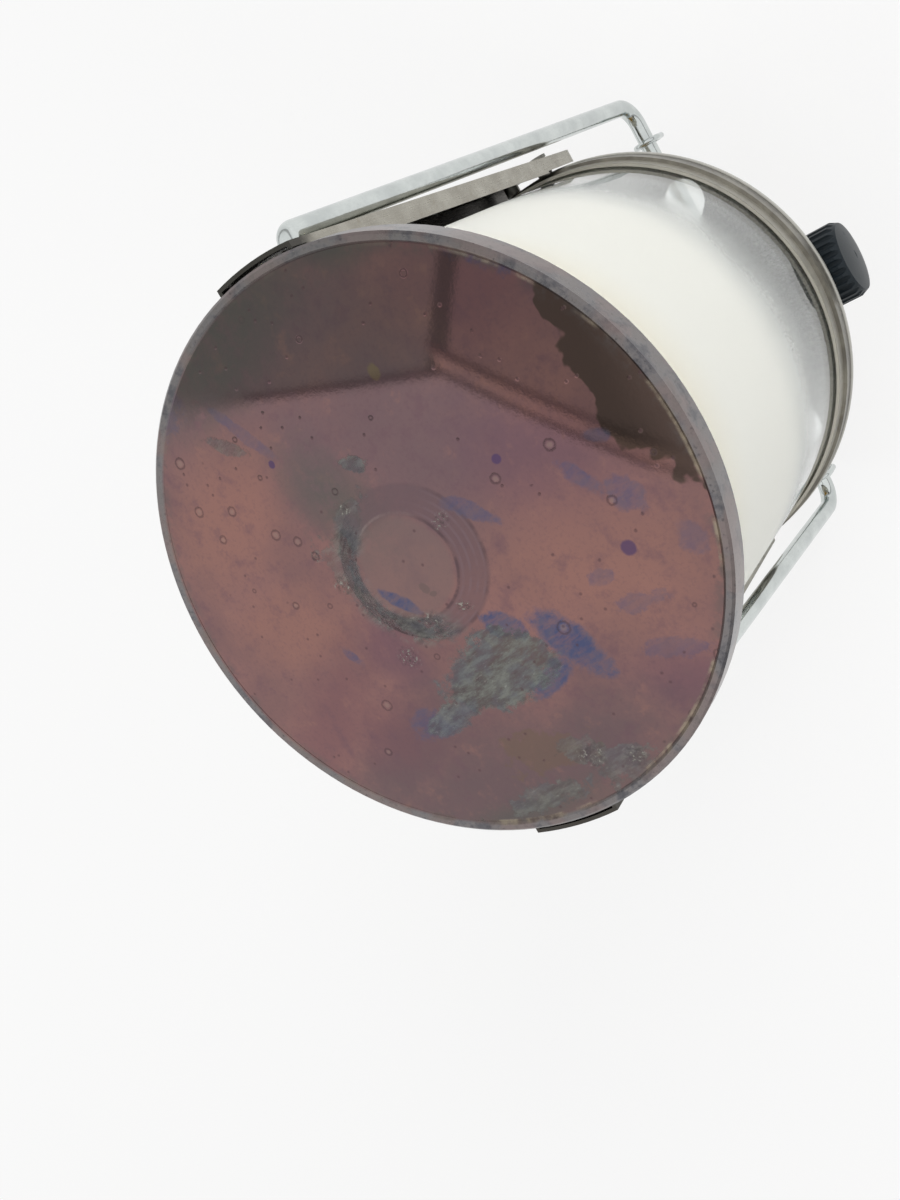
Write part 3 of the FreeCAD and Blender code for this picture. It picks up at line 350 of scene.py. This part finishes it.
def hood_finish():
    f = Finish("tinted_steel")
    cloud = f.noise(22.0, 4.0, 0.5)
    mottle = f.noise(5.0, 7.0, 0.65)
    ragged = f.noise(4.5, 9.0, 0.72, shift=31.0)
    lobes = f.noise(8.0, 3.0, 0.45, shift=13.0)
    fine = f.noise(0.8, 5.0, 0.65)
    streaks = f.noise(1.5, 7.0, 0.68, longer=(1.0, 3.0, 1.0), shift=3.0, turn=12.0)
    streaky = f.between(streaks, 0.36, 0.6)

    def marks(ovals, soft, after=0.0):
        found = after
        for x, y, long, wide, turn, rag in ovals:
            mark = f.patch((x, y), (long, wide), turn, ragged, rag, soft, found)
            found = mark if found is after else f.most(found, mark)
        return found

    def graded(groups, soft):
        found = 0.0
        for strength, ovals in groups:
            found = f.most(found, f.times(marks(ovals, soft, found), strength))
        return found

    tint = f.mix(f.between(cloud, 0.36, 0.64), srgb(126, 97, 96), srgb(140, 105, 101))
    for colour, strength, ovals in HAZE:
        tint = f.mix(f.times(marks(ovals, 0.7), strength), tint, srgb(*colour))
    tint = f.mix(f.times(f.between(mottle, 0.50, 0.72), 0.5), tint, srgb(108, 84, 92))
    tint = f.mix(f.times(f.between(mottle, 0.44, 0.26), 0.35), tint, srgb(150, 112, 102))
    tint = f.mix(f.times(f.between(fine, 0.50, 0.66), 0.22), tint, srgb(104, 82, 88))
    soot = f.times(marks(SOOT_MARKS, 0.6), f.blend(f.between(ragged, 0.35, 0.6), 0.3, 0.7))
    tint = f.mix(soot, tint, srgb(92, 92, 88))
    for colour, strength, ovals in STAINS:
        tint = f.mix(f.times(marks(ovals, 0.2), strength), tint, srgb(*colour))
    x, y, long, wide, turn = DARK_EDGE_PATCH
    # Dark ragged patch beside the edge.
    dark_patch = f.patch((x, y), (long, wide), turn, lobes, 0.45, 0.04)
    tint = f.mix(f.times(dark_patch, 0.92), tint, srgb(80, 68, 62))
    tint, boss_scuffs = boss_marks_and_painted_light(f, tint, ragged, mottle)
    blue = f.mix(f.between(mottle, 0.4, 0.6), srgb(74, 82, 113), srgb(96, 92, 110))
    tint = f.mix(f.times(graded(BLUE_MARKS, 0.22), f.blend(streaky, 0.55, 1.0)), tint, blue)
    scuffs = f.most(f.times(graded(GREY_MARKS, 0.12), f.blend(streaky, 0.75, 1.0)), boss_scuffs)
    # The scuffs' grey: real grey scuffing, darker in the creases of its crumpling as painted shade and
    # lighter on the ridges as painted light.
    crumple = f.between(streaks, 0.34, 0.66)
    grey = f.mix(crumple, srgb(70, 76, 76), srgb(124, 128, 122))
    # Painted glints on the scuffs' ridges.
    painted_glint = f.between(f.noise(0.8, 6.0, 0.7, longer=(1.0, 2.6, 1.0), shift=7.0, turn=12.0), 0.58, 0.70)
    grey = f.mix(f.times(painted_glint, 0.6), grey, srgb(158, 162, 156))
    pall = f.between(f.noise(6.0, 4.0, 0.6, shift=23.0), 0.42, 0.60)
    grey = f.mix(f.times(pall, 0.4), grey, srgb(92, 98, 112))
    tint = f.mix(f.times(scuffs, 0.92), tint, grey)

    distance, chance, wobble = f.cells(9.0, "2D")
    small = f.band(distance, f.blend(wobble, 0.035, 0.075), 0.008, 0.02)
    small = f.times(small, f.between(chance, 0.88, 0.90))
    bend = f.times(f.math("SUBTRACT", fine, 0.5), 0.7)
    rings = small
    hearts = 0.0
    for x, y, size in RINGS:
        away = f.math("ADD", f.away((x, y), (2, 2), after=hearts), bend)
        rings = f.most(rings, f.band(away, size, 0.08, 0.2))
        hearts = f.most(hearts, f.between(away, size * 0.8, size * 0.3))
    tint = f.mix(f.times(hearts, 0.35), tint, srgb(154, 132, 122))
    tint = f.mix(f.times(rings, 0.45), tint, srgb(76, 61, 64))
    speck_distance, speck_chance, _ = f.cells(2.1, "2D", shift=5.0)
    specks = f.times(f.between(speck_distance, 0.22, 0.06), f.between(speck_chance, 0.945, 0.955))
    tint = f.mix(f.times(specks, 0.55), tint, srgb(86, 66, 70))
    crust_zone = marks([(x, y, size, size, 0.0, 0.5) for x, y, size in CRUSTS], 0.5)
    crumbs = f.noise(0.9, 6.0, 0.7, shift=2.0)
    flakes = f.times(crust_zone, f.between(crumbs, 0.54, 0.62))
    tint = f.mix(f.times(crust_zone, f.between(crumbs, 0.50, 0.40), 0.55), tint, srgb(72, 68, 68))
    tint = f.mix(f.times(flakes, 0.75), tint, srgb(160, 158, 150))

    edge = f.between(f.radius, EDGE_RADIUS - 0.3, EDGE_RADIUS + 0.2)
    steel = f.mix(f.between(ragged, 0.35, 0.65), srgb(96, 95, 99), srgb(146, 141, 140))
    steel = f.mix(f.times(f.between(lobes, 0.46, 0.60), 0.5), steel, srgb(142, 124, 120))
    steel = f.mix(f.times(f.between(fine, 0.56, 0.70), 0.6), steel, srgb(74, 72, 74))
    tint = f.mix(edge, tint, steel)
    worn_edge = f.times(f.between(f.radius, *WORN_RADII), f.between(ragged, 0.46, 0.62), 0.5)
    tint = f.mix(worn_edge, tint, srgb(96, 91, 90))
    crust_side = f.blend(f.between(facing(f, RIGHT_WAY), -0.2, 0.5), 0.15, 1.0)
    gutter = f.times(
        f.band(f.radius, EDGE_RADIUS - 0.2, 0.25, 0.5), f.between(lobes, 0.44, 0.58), crust_side)
    crusted = f.mix(f.between(mottle, 0.42, 0.58), srgb(104, 92, 86), srgb(164, 152, 132))
    tint = f.mix(f.times(gutter, f.blend(f.between(ragged, 0.4, 0.55), 0.2, 0.7)), tint, crusted)

    dull = f.most(
        f.times(scuffs, 0.9), f.times(specks, 0.4), f.times(rings, 0.4), f.times(soot, 0.35),
        f.times(crust_zone, 0.35), f.times(gutter, 0.8))
    roughness = f.blend(dull, 0.03, 0.45)
    roughness = f.math("ADD", roughness, f.times(edge, 0.22))
    roughness = f.math("ADD", roughness, f.times(f.between(mottle, 0.45, 0.75), 0.03))
    height = f.math("ADD", f.times(scuffs, crumple), f.times(fine, 0.05))
    height = f.math("ADD", height, f.times(f.most(rings, specks), 0.35))
    height = f.math("ADD", height, flakes)
    turning = f.math("SINE", f.times(f.radius, SPUN_LINES))
    turned = f.times(turning, f.band(f.radius, BOSS_MIDDLE, 1.6, 0.5), 0.07)
    shader = f.surface(
        Base_Color=tint, Metallic=1.0, Roughness=roughness,
        Normal=f.bump(f.math("ADD", height, turned), 0.05))
    return f.done(shader)


# Globe: frosted above, fading to clear towards the tray, and faintly yellow near the hood
FROST_MM = (80.0, 110.0)
FROST_GRAIN = 18.0
FROST_DRIFT = 14.0
YELLOW_MM = (138.0, 172.0)
GLASS_IOR = 1.45


def globe_finish():
    f = Finish("frosted_glass")
    drift = f.math("ADD", f.z, f.times(f.math("SUBTRACT", f.noise(40.0, 2.0), 0.5), FROST_DRIFT))
    grain = f.noise(0.3, 3.0, 0.6)
    speckled = f.math("ADD", drift, f.times(f.math("SUBTRACT", grain, 0.5), FROST_GRAIN))
    frost = f.between(speckled, *FROST_MM)
    warm = f.between(f.z, *YELLOW_MM)
    colour = f.mix(warm, srgb(246, 246, 240), srgb(243, 237, 217))
    colour = f.mix(frost, srgb(236, 240, 238), colour)
    smear = f.noise(9.0, 5.0, 0.6, longer=(1.0, 1.0, 2.5))
    roughness = f.blend(frost, 0.03, 0.62)
    roughness = f.math("ADD", roughness, f.times(f.between(smear, 0.5, 0.8), 0.05))
    shader = f.surface(
        Base_Color=colour, Roughness=roughness, IOR=GLASS_IOR,
        Transmission_Weight=f.blend(frost, 0.98, 0.30),
        Normal=f.bump(f.times(grain, frost), 0.01))
    to_lamp = f.node("ShaderNodeLightPath").outputs["Is Shadow Ray"]
    passing = f.times(to_lamp, f.blend(frost, 0.92, 0.55))
    clear = f.node("ShaderNodeBsdfTransparent").outputs[0]
    both = f.node("ShaderNodeMixShader", {0: passing, 1: shader, 2: clear})
    return f.done(both.outputs[0])


def metal_finish(
        name, dark, light, rough, stain, stain_share, pits, brush=None, extra=None, metallic=1.0):
    """Plain metal: two shades in clouds, brushing along a stretch, stains and pits."""
    f = Finish(name)
    cloud = f.noise(7.0, 5.0, 0.6)
    colour = f.mix(f.between(cloud, 0.3, 0.7), dark, light)
    lines = f.noise(0.5, 3.0, 0.6, longer=brush)
    colour = f.mix(f.times(f.between(lines, 0.4, 0.75), 0.25), colour, dark)
    spots = f.between(f.noise(3.2, 7.0, 0.72, shift=17.0), 0.56, 0.72)
    colour = f.mix(f.times(spots, stain_share), colour, stain)
    distance, chance, _ = f.cells(1.4)
    pitted = f.times(f.between(distance, 0.3, 0.15), f.between(chance, 0.8, 0.82), pits)
    colour = f.mix(f.times(pitted, 0.6), colour, dark)
    if extra is not None:
        colour = extra(f, colour)
    roughness = f.blend(f.between(lines, 0.3, 0.7), rough, rough + 0.1)
    roughness = f.math("ADD", roughness, f.times(spots, 0.14))
    height = f.math("ADD", f.times(lines, 0.4), f.times(pitted, -1.0))
    shader = f.surface(
        Base_Color=colour, Metallic=metallic, Roughness=roughness, Normal=f.bump(height, 0.012))
    return f.done(shader)


# Tray: brown-grey, with a painted highlight on the rolled edge, a dark line above it that is partly dirt and
# partly painted shade under the step, and the inner wall painted lighter against its shade
ROLL_TOP_MM = 51.2
ROLL_RADII = (54.5, 54.9)
WALL_INSIDE = 54.1


def tray_dirt_and_painted_light(f, colour):
    grit = f.between(f.noise(1.0, 6.0, 0.75, shift=4.0), 0.40, 0.58)
    # Dark line above the rolled edge: grit-broken dirt, and painted shade under the step.
    dirt_and_shade = f.times(f.band(f.z, ROLL_TOP_MM + 1.0, 0.7, 1.1), f.blend(grit, 0.3, 1.0))
    colour = f.mix(f.times(dirt_and_shade, 0.85), colour, srgb(62, 58, 52))
    # Painted highlight along the rolled edge.
    rolled = f.times(
        f.between(f.radius, *ROLL_RADII), f.between(f.z, ROLL_TOP_MM + 0.2, ROLL_TOP_MM - 0.3))
    colour = f.mix(f.times(rolled, 0.85), colour, srgb(196, 195, 188))
    # Painted light: the inner wall lightened against the shade between the wall and the glass.
    inside = f.between(f.radius, WALL_INSIDE, WALL_INSIDE - 0.3)
    return f.mix(f.times(inside, 0.85), colour, srgb(196, 192, 180))


# Struts: darker towards their ears, with painted shade inside the channel
EAR_DARK_MM = (166.0, 174.0)
CHANNEL_HALF = 8.9
WEB_MM = (41.5, 176.0)
WEB_FOOT_RADIUS = 58.7
WEB_EAR_RADIUS = 60.6


def strut_dark_ears_and_painted_shade(f, colour):
    rise = f.math("ADD", f.z, f.times(f.math("SUBTRACT", f.noise(4.0, 5.0), 0.5), 8.0))
    web = f.blend(f.z, WEB_FOOT_RADIUS, WEB_EAR_RADIUS, *WEB_MM)
    depth = f.math("SUBTRACT", web, f.radius)
    channel = f.between(f.math("ABSOLUTE", f.y), CHANNEL_HALF + 0.1, CHANNEL_HALF - 0.1)
    # Painted shade inside the channel, between its flanges.
    inside = f.times(f.between(depth, 0.3, 0.6), channel)
    # The ears darken and the channel's painted shade share one dark colour.
    return f.mix(f.times(f.most(f.between(rise, *EAR_DARK_MM), inside), 0.9), colour, srgb(54, 51, 49))


def knob_finish():
    f = Finish("black_plastic")
    grain = f.noise(0.35, 4.0, 0.6)
    worn = f.between(f.noise(2.4, 6.0, 0.7), 0.55, 0.75)
    colour = f.mix(f.times(worn, 0.5), srgb(30, 37, 42), srgb(48, 57, 62))
    dust = f.between(f.noise(0.8, 5.0, 0.7, shift=9.0), 0.62, 0.75)
    colour = f.mix(f.times(dust, 0.25), colour, srgb(98, 106, 108))
    shader = f.surface(
        Base_Color=colour, Roughness=f.blend(worn, 0.4, 0.52), Specular_IOR_Level=0.22,
        Normal=f.bump(grain, 0.02))
    return f.done(shader)


def rubber_finish():
    f = Finish("black_rubber")
    grain = f.noise(0.2, 3.0)
    colour = f.mix(f.between(f.noise(1.5, 5.0), 0.4, 0.7), srgb(30, 30, 30), srgb(52, 51, 49))
    return f.done(f.surface(Base_Color=colour, Roughness=0.75, Normal=f.bump(grain, 0.02)))


def fibre_finish():
    f = Finish("fibre_gasket")
    fibres = f.noise(0.6, 5.0, 0.7, longer=(3.0, 3.0, 1.0))
    colour = f.mix(f.between(fibres, 0.35, 0.65), srgb(196, 190, 176), srgb(224, 220, 208))
    colour = f.mix(f.times(f.between(f.noise(5.0, 5.0), 0.55, 0.7), 0.4), colour, srgb(150, 132, 108))
    return f.done(f.surface(Base_Color=colour, Roughness=0.9, Normal=f.bump(fibres, 0.06)))


# Mantle cloth: an open weave
THREADS_ROUND = 130.0
THREAD_MM = 0.8


def cloth_finish():
    f = Finish("mantle_cloth")
    round_way = f.math("SINE", f.times(f.angle, THREADS_ROUND))
    up_way = f.math("SINE", f.times(f.z, math.pi / THREAD_MM))
    weave = f.most(round_way, up_way)
    ash = f.noise(4.0, 5.0)
    colour = f.mix(f.between(ash, 0.35, 0.65), srgb(226, 222, 208), srgb(244, 242, 234))
    colour = f.mix(f.times(f.between(weave, 0.3, -0.6), 0.45), colour, srgb(176, 168, 150))
    shader = f.surface(Base_Color=colour, Roughness=0.95, Sheen_Weight=0.3, Normal=f.bump(weave, 0.12))
    return f.done(shader)


def make_finishes():
    return {
        "tinted_steel": hood_finish(),
        "frosted_glass": globe_finish(),
        "fibre_gasket": fibre_finish(),
        "grimy_steel": metal_finish(
            "grimy_steel", srgb(92, 88, 79), srgb(130, 126, 114), rough=0.28,
            stain=srgb(98, 86, 68), stain_share=0.5, pits=0.5,
            brush=(1.0, 1.0, 0.2), extra=tray_dirt_and_painted_light, metallic=0.4),
        "polished_steel": metal_finish(
            "polished_steel", srgb(124, 126, 122), srgb(152, 154, 149), rough=0.22,
            stain=srgb(118, 114, 104), stain_share=0.3, pits=0.4),
        "strut_steel": metal_finish(
            "strut_steel", srgb(152, 148, 138), srgb(174, 171, 161), rough=0.24,
            stain=srgb(146, 132, 110), stain_share=0.35, pits=0.4,
            brush=(0.4, 0.4, 6.0), extra=strut_dark_ears_and_painted_shade),
        "rivet_steel": metal_finish(
            "rivet_steel", srgb(120, 118, 112), srgb(172, 171, 165), rough=0.28,
            stain=srgb(110, 96, 78), stain_share=0.4, pits=0.5),
        "chrome_wire": metal_finish(
            "chrome_wire", srgb(194, 199, 198), srgb(212, 217, 215), rough=0.08,
            stain=srgb(170, 168, 160), stain_share=0.1, pits=0.5, brush=(0.5, 0.5, 5.0)),
        "black_plastic": knob_finish(),
        "plain_brass": metal_finish(
            "plain_brass", srgb(166, 132, 72), srgb(204, 172, 106), rough=0.26,
            stain=srgb(112, 84, 46), stain_share=0.45, pits=0.4),
        "black_rubber": rubber_finish(),
        "burner_steel": metal_finish(
            "burner_steel", srgb(116, 100, 86), srgb(158, 146, 132), rough=0.32,
            stain=srgb(84, 66, 74), stain_share=0.6, pits=0.6),
        "mantle_cloth": cloth_finish(),
        "cast_aluminium": metal_finish(
            "cast_aluminium", srgb(140, 141, 140), srgb(182, 183, 182), rough=0.38,
            stain=srgb(112, 108, 100), stain_share=0.4, pits=1.0),
    }


def dress_frame(finishes):
    for entry in frame["record"]["subparts"]:
        piece = nodes[entry["node"]]
        piece.data.materials.clear()
        piece.data.materials.append(finishes[entry["material_slot"]])


def new_piece(name, build, slot, body, finishes):
    """Mesh piece made by a function that fills a bmesh, with its finish, riding on a body."""
    shape = bmesh.new()
    build(shape)
    bmesh.ops.recalc_face_normals(shape, faces=shape.faces)
    mesh = bpy.data.meshes.new(name)
    shape.to_mesh(mesh)
    shape.free()
    mesh.polygons.foreach_set("use_smooth", [True] * len(mesh.polygons))
    mesh.materials.append(finishes[slot])
    piece = bpy.data.objects.new(name, mesh)
    bpy.context.scene.collection.objects.link(piece)
    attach(piece, body)
    return piece


def skin(shape, rings, closed=True):
    """Faces between neighbouring rings of vertices."""
    count = len(rings[0])
    for low, high in zip(rings, rings[1:]):
        for index in range(count if closed else count - 1):
            follower = (index + 1) % count
            shape.faces.new((low[index], low[follower], high[follower], high[index]))


TUBE_SIDES = 10
TIP_SHARE = 0.45


def tube(shape, points, radius):
    """Closed tube along points, each end drawn to a blunt tip."""
    rings = []
    side = Vector((0, 0, 1))
    for index, point in enumerate(points):
        ahead = points[min(index + 1, len(points) - 1)] - points[max(index - 1, 0)]
        ahead.normalize()
        across = side.cross(ahead)
        if across.length < 1e-6:
            across = Vector((1, 0, 0)).cross(ahead)
        across.normalize()
        over = ahead.cross(across)
        size = radius * (TIP_SHARE if index in (0, len(points) - 1) else 1.0)
        rings.append([
            shape.verts.new(point + (across * math.cos(turn) + over * math.sin(turn)) * size)
            for turn in (2 * math.pi * step / TUBE_SIDES for step in range(TUBE_SIDES))])
    skin(shape, rings)
    shape.faces.new(rings[0][::-1])
    shape.faces.new(rings[-1])


# Mantle: a sock gathered at its neck by the tie, closed at the top
MANTLE_STEPS = 240
MANTLE_FOLDS = 20
ROWS_BETWEEN = 6
BULB_INSET = 0.6 * MM
NECK_DRAW = 1.35 * MM
SEAM_LAP = 0.14
SEAM_START = 0.95
SEAM_RISE = 0.04
SEAM_LIFT = 0.25 * MM
SEAM_FULL = 8.0 * MM


def mantle_profile():
    """Radius, height and depth of the folds up the sock, in metres, from the hem to the top."""
    low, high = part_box("mantle")
    tie_low, tie_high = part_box("mantle_tie")
    wide = (high.x - low.x) / 2 - BULB_INSET
    tie = (tie_low.z + tie_high.z) / 2
    tie_radius = (tie_high.x - tie_low.x) / 2
    neck = tie_radius - NECK_DRAW
    collar = neck + NECK_DRAW
    head_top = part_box("burner_head")[1].z
    bulb = high.z - head_top
    return [
        (collar + 0.5 * MM, low.z, 0.55 * MM),
        (collar + 0.25 * MM, low.z + 1.2 * MM, 0.42 * MM),
        (collar, tie - 1.4 * MM, 0.25 * MM),
        (neck, tie, 0.08 * MM),
        (collar, tie + 1.4 * MM, 0.25 * MM),
        (collar + 0.45 * MM, head_top - 1.0 * MM, 0.5 * MM),
        (collar + (wide - collar) * 0.3, head_top + bulb * 0.07, 0.75 * MM),
        (collar + (wide - collar) * 0.64, head_top + bulb * 0.17, 0.6 * MM),
        (wide * 0.96, head_top + bulb * 0.32, 0.35 * MM),
        (wide, head_top + bulb * 0.45, 0.2 * MM),
        (wide * 0.95, head_top + bulb * 0.60, 0.2 * MM),
        (wide * 0.80, head_top + bulb * 0.76, 0.35 * MM),
        (wide * 0.52, head_top + bulb * 0.90, 0.5 * MM),
        (wide * 0.22, head_top + bulb * 0.975, 0.4 * MM),
        (wide * 0.05, high.z - 0.6 * MM, 0.1 * MM),
    ]


def curve(a, b, c, d, t):
    """Smooth course from b to c, with a before them and d after."""
    bend = (2 * a - 5 * b + 4 * c - d) * t ** 2
    return 0.5 * (2 * b + (c - a) * t + bend + (3 * b - a - 3 * c + d) * t ** 3)


def between_rows(rows, parts):
    """Rows with smooth steps added between them."""
    out = []
    last = len(rows) - 1
    for index in range(last):
        before, start = rows[max(index - 1, 0)], rows[index]
        end, after = rows[index + 1], rows[min(index + 2, last)]
        for part in range(parts):
            t = part / parts
            out.append(tuple(curve(*values, t) for values in zip(before, start, end, after)))
    return out + [rows[-1]]


def build_mantle(shape):
    """A strip rolled round, its end lapped over its start in a seam, and drawn together at the top."""
    rings = []
    for row, (radius, height, fold) in enumerate(between_rows(mantle_profile(), ROWS_BETWEEN)):
        ring = []
        for step in range(MANTLE_STEPS + 1):
            part = step / MANTLE_STEPS
            turn = (2 * math.pi + SEAM_LAP) * part
            crease = math.sin(MANTLE_FOLDS * turn + 0.6 * math.sin(3 * turn + row * 0.05))
            sag = 0.25 * math.sin(2 * turn + 0.8) + 0.2 * math.sin(5 * turn + row * 0.08)
            risen = min(1.0, max(0.0, (part - SEAM_START) / SEAM_RISE))
            lap = SEAM_LIFT * risen * min(1.0, radius / SEAM_FULL)
            out = radius + fold * (0.8 * crease + 0.4 * sag) + lap
            ring.append(shape.verts.new((out * math.cos(turn), out * math.sin(turn), height)))
        rings.append(ring)
    skin(shape, rings, closed=False)


# Tie: two turns of thread and a knot with short ends
TIE_POINTS = 120
TIE_THREAD = 0.26 * MM
KNOT_POINTS = 24
KNOT_TURN = 12
KNOT_LENGTH = 1.5
KNOT_DEPTH = 0.2
KNOT_HEIGHT = 0.42
END_POINTS = 8
END_SHARE = 0.9


def build_tie(shape):
    low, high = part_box("mantle_tie")
    radius = (high.x - low.x) / 2 - TIE_THREAD
    middle = (low.z + high.z) / 2
    turns = []
    for step in range(2 * TIE_POINTS + 1):
        turn = 2 * math.pi * step / TIE_POINTS - math.pi / 2
        rise = (step / TIE_POINTS - 1.0) * TIE_THREAD
        turns.append(Vector((radius * math.cos(turn), radius * math.sin(turn), middle + rise)))
    tube(shape, turns, TIE_THREAD)
    knot_middle = Vector((0, -radius, middle))
    knot = []
    for step in range(KNOT_POINTS + 1):
        turn = 2 * math.pi * step / KNOT_TURN
        along = (step / KNOT_POINTS - 0.5) * KNOT_LENGTH * MM
        knot.append(knot_middle + Vector((
            along, -math.cos(turn) * KNOT_DEPTH * MM, math.sin(turn) * KNOT_HEIGHT * MM)))
    tube(shape, knot, TIE_THREAD)
    for side in (-1, 1):
        end = []
        for step in range(END_POINTS + 1):
            t = step / END_POINTS
            end.append(knot_middle + Vector((
                side * (0.4 + 2.6 * t) * MM, (-0.15 + 0.3 * t) * MM, (0.3 - 2.6 * t * t) * MM)))
        tube(shape, end, TIE_THREAD * END_SHARE)


# Stage and light
FLOOR_HALF = 3.0
FLOOR_DROP = 0.0002
FLOOR_GLOW = 0.72
PAPER = (0.93, 0.93, 0.925, 1.0)
WHITE = (1.0, 1.0, 1.0, 1.0)
LAMPS = (
    ("key", (0.75, -0.65, 0.62), 0.5, 4.8),
    ("fill", (-0.8, -0.5, 0.7), 0.6, 1.8),
    ("back", (0.1, 1.0, 0.5), 0.6, 1.6),
)


def make_floor():
    shape = bmesh.new()
    bmesh.ops.create_grid(shape, x_segments=1, y_segments=1, size=FLOOR_HALF)
    mesh = bpy.data.meshes.new("floor")
    shape.to_mesh(mesh)
    shape.free()
    floor = bpy.data.objects.new("floor", mesh)
    floor.location.z = -FLOOR_DROP
    bpy.context.scene.collection.objects.link(floor)
    material = bpy.data.materials.new("floor")
    material.use_nodes = True
    f = Shading(material.node_tree)
    path = f.node("ShaderNodeLightPath").outputs
    seen = f.most(path["Is Camera Ray"], path["Is Glossy Ray"], path["Is Transmission Ray"])
    paper = f.node("ShaderNodeBsdfDiffuse", {"Color": PAPER}).outputs[0]
    white = f.node("ShaderNodeEmission", {"Color": WHITE}).outputs[0]
    both = f.node("ShaderNodeMixShader", {0: f.times(seen, FLOOR_GLOW), 1: paper, 2: white})
    f.node("ShaderNodeOutputMaterial", {"Surface": both.outputs[0]})
    mesh.materials.append(material)


# Room that the metal mirrors: white, a dark shape beyond two straight edges overhead, a grey flag low down.
# Places are a direction's x and y over its height.
DARK_CORNER = (0.074, 0.491)
DARK_SLOPES = (0.30, 1.117)
DARK_SOFT = 0.006
DARK_ACROSS = (0.55, 0.45)
DARK_ALONG = (0.2, 0.28)
DARK_RISE = (0.2, 0.3)
LEAST_RISE = 0.05
DARK_TONE = (0.53, 0.60, 0.57, 1.0)
POST_TONE = (0.26, 0.31, 0.30, 1.0)
FAR_TONE = (0.56, 0.57, 0.56, 1.0)
LINE_TONE = (0.30, 0.30, 0.30, 1.0)
STRIP_TONE = (0.84, 0.80, 0.74, 1.0)
STRIP_WIDTH = 0.05
FLAG_TONE = (0.45, 0.45, 0.45, 1.0)
FLAG_HEIGHTS = (0.04, 0.26)
POST_START = (0.198, 0.386)
POST_SLOPE = -0.77
POST_WIDTH = 0.035
AMBIENT = 0.62


def make_world():
    world = bpy.data.worlds.new("room")
    bpy.context.scene.world = world
    world.use_nodes = True
    w = Shading(world.node_tree)
    way = w.node("ShaderNodeSeparateXYZ", {0: w.node("ShaderNodeTexCoord").outputs["Generated"]}).outputs
    height = w.math("MAXIMUM", way[2], LEAST_RISE)
    across = w.math("DIVIDE", way[0], height)
    along = w.math("DIVIDE", way[1], height)
    edges = []
    for slope in DARK_SLOPES:
        line = w.math("ADD", w.times(w.math("SUBTRACT", along, DARK_CORNER[1]), slope), DARK_CORNER[0])
        edges.append(w.math("SUBTRACT", across, line))
    inside = w.most(*edges)
    post = w.math("ADD", w.times(w.math("SUBTRACT", across, POST_START[0]), POST_SLOPE), POST_START[1])
    past_post = w.math("SUBTRACT", along, post)
    room = w.mix(w.between(past_post, -DARK_SOFT, DARK_SOFT), FAR_TONE, DARK_TONE)
    room = w.mix(w.band(past_post, POST_WIDTH / 2, POST_WIDTH / 2, DARK_SOFT), room, POST_TONE)
    steep = w.between(w.math("SUBTRACT", edges[1], edges[0]), 0.0, DARK_SOFT)
    room = w.mix(w.times(w.between(inside, STRIP_WIDTH + 0.004, STRIP_WIDTH), steep), room, STRIP_TONE)
    lines = w.most(
        w.band(inside, 0.006, 0.004, 0.006), w.times(w.band(inside, STRIP_WIDTH, 0.005, 0.008), steep))
    room = w.mix(lines, room, LINE_TONE)
    dark = w.times(
        w.between(inside, -DARK_SOFT, DARK_SOFT), w.between(across, *DARK_ACROSS),
        w.between(along, *DARK_ALONG), w.between(way[2], *DARK_RISE))
    path = w.node("ShaderNodeLightPath").outputs
    mirrored = w.mix(dark, WHITE, room)
    low, high = FLAG_HEIGHTS
    flag = w.times(w.between(way[2], low - 0.02, low + 0.02), w.between(way[2], high + 0.05, high - 0.05))
    mirrored = w.mix(flag, mirrored, FLAG_TONE)
    tone = w.mix(path["Is Glossy Ray"], (AMBIENT, AMBIENT, AMBIENT, 1.0), mirrored)
    tone = w.mix(w.most(path["Is Camera Ray"], path["Is Transmission Ray"]), tone, WHITE)
    background = w.node("ShaderNodeBackground", {"Color": tone, "Strength": 1.0})
    w.node("ShaderNodeOutputWorld", {"Surface": background.outputs[0]})


def make_lamp(name, place, size, watts):
    lamp = bpy.data.lights.new(name, "AREA")
    lamp.size = size
    lamp.energy = watts
    holder = bpy.data.objects.new(name, lamp)
    bpy.context.scene.collection.objects.link(holder)
    middle = (cad_box[0] + cad_box[1]) / 2
    holder.location = place
    holder.rotation_mode = "QUATERNION"
    holder.rotation_quaternion = (middle - Vector(place)).to_track_quat("-Z", "Y")
    holder.visible_glossy = False


make_camera()
finishes = make_finishes()
dress_frame(finishes)

mantle = new_piece("mantle_sock", build_mantle, "mantle_cloth", "lantern", finishes)
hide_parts("mantle")
tie = new_piece("mantle_thread", build_tie, "mantle_cloth", "lantern", finishes)
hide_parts("mantle_tie")

make_floor()
make_world()
for lamp_facts in LAMPS:
    make_lamp(*lamp_facts)
bpy.context.scene.view_settings.view_transform = "Standard"
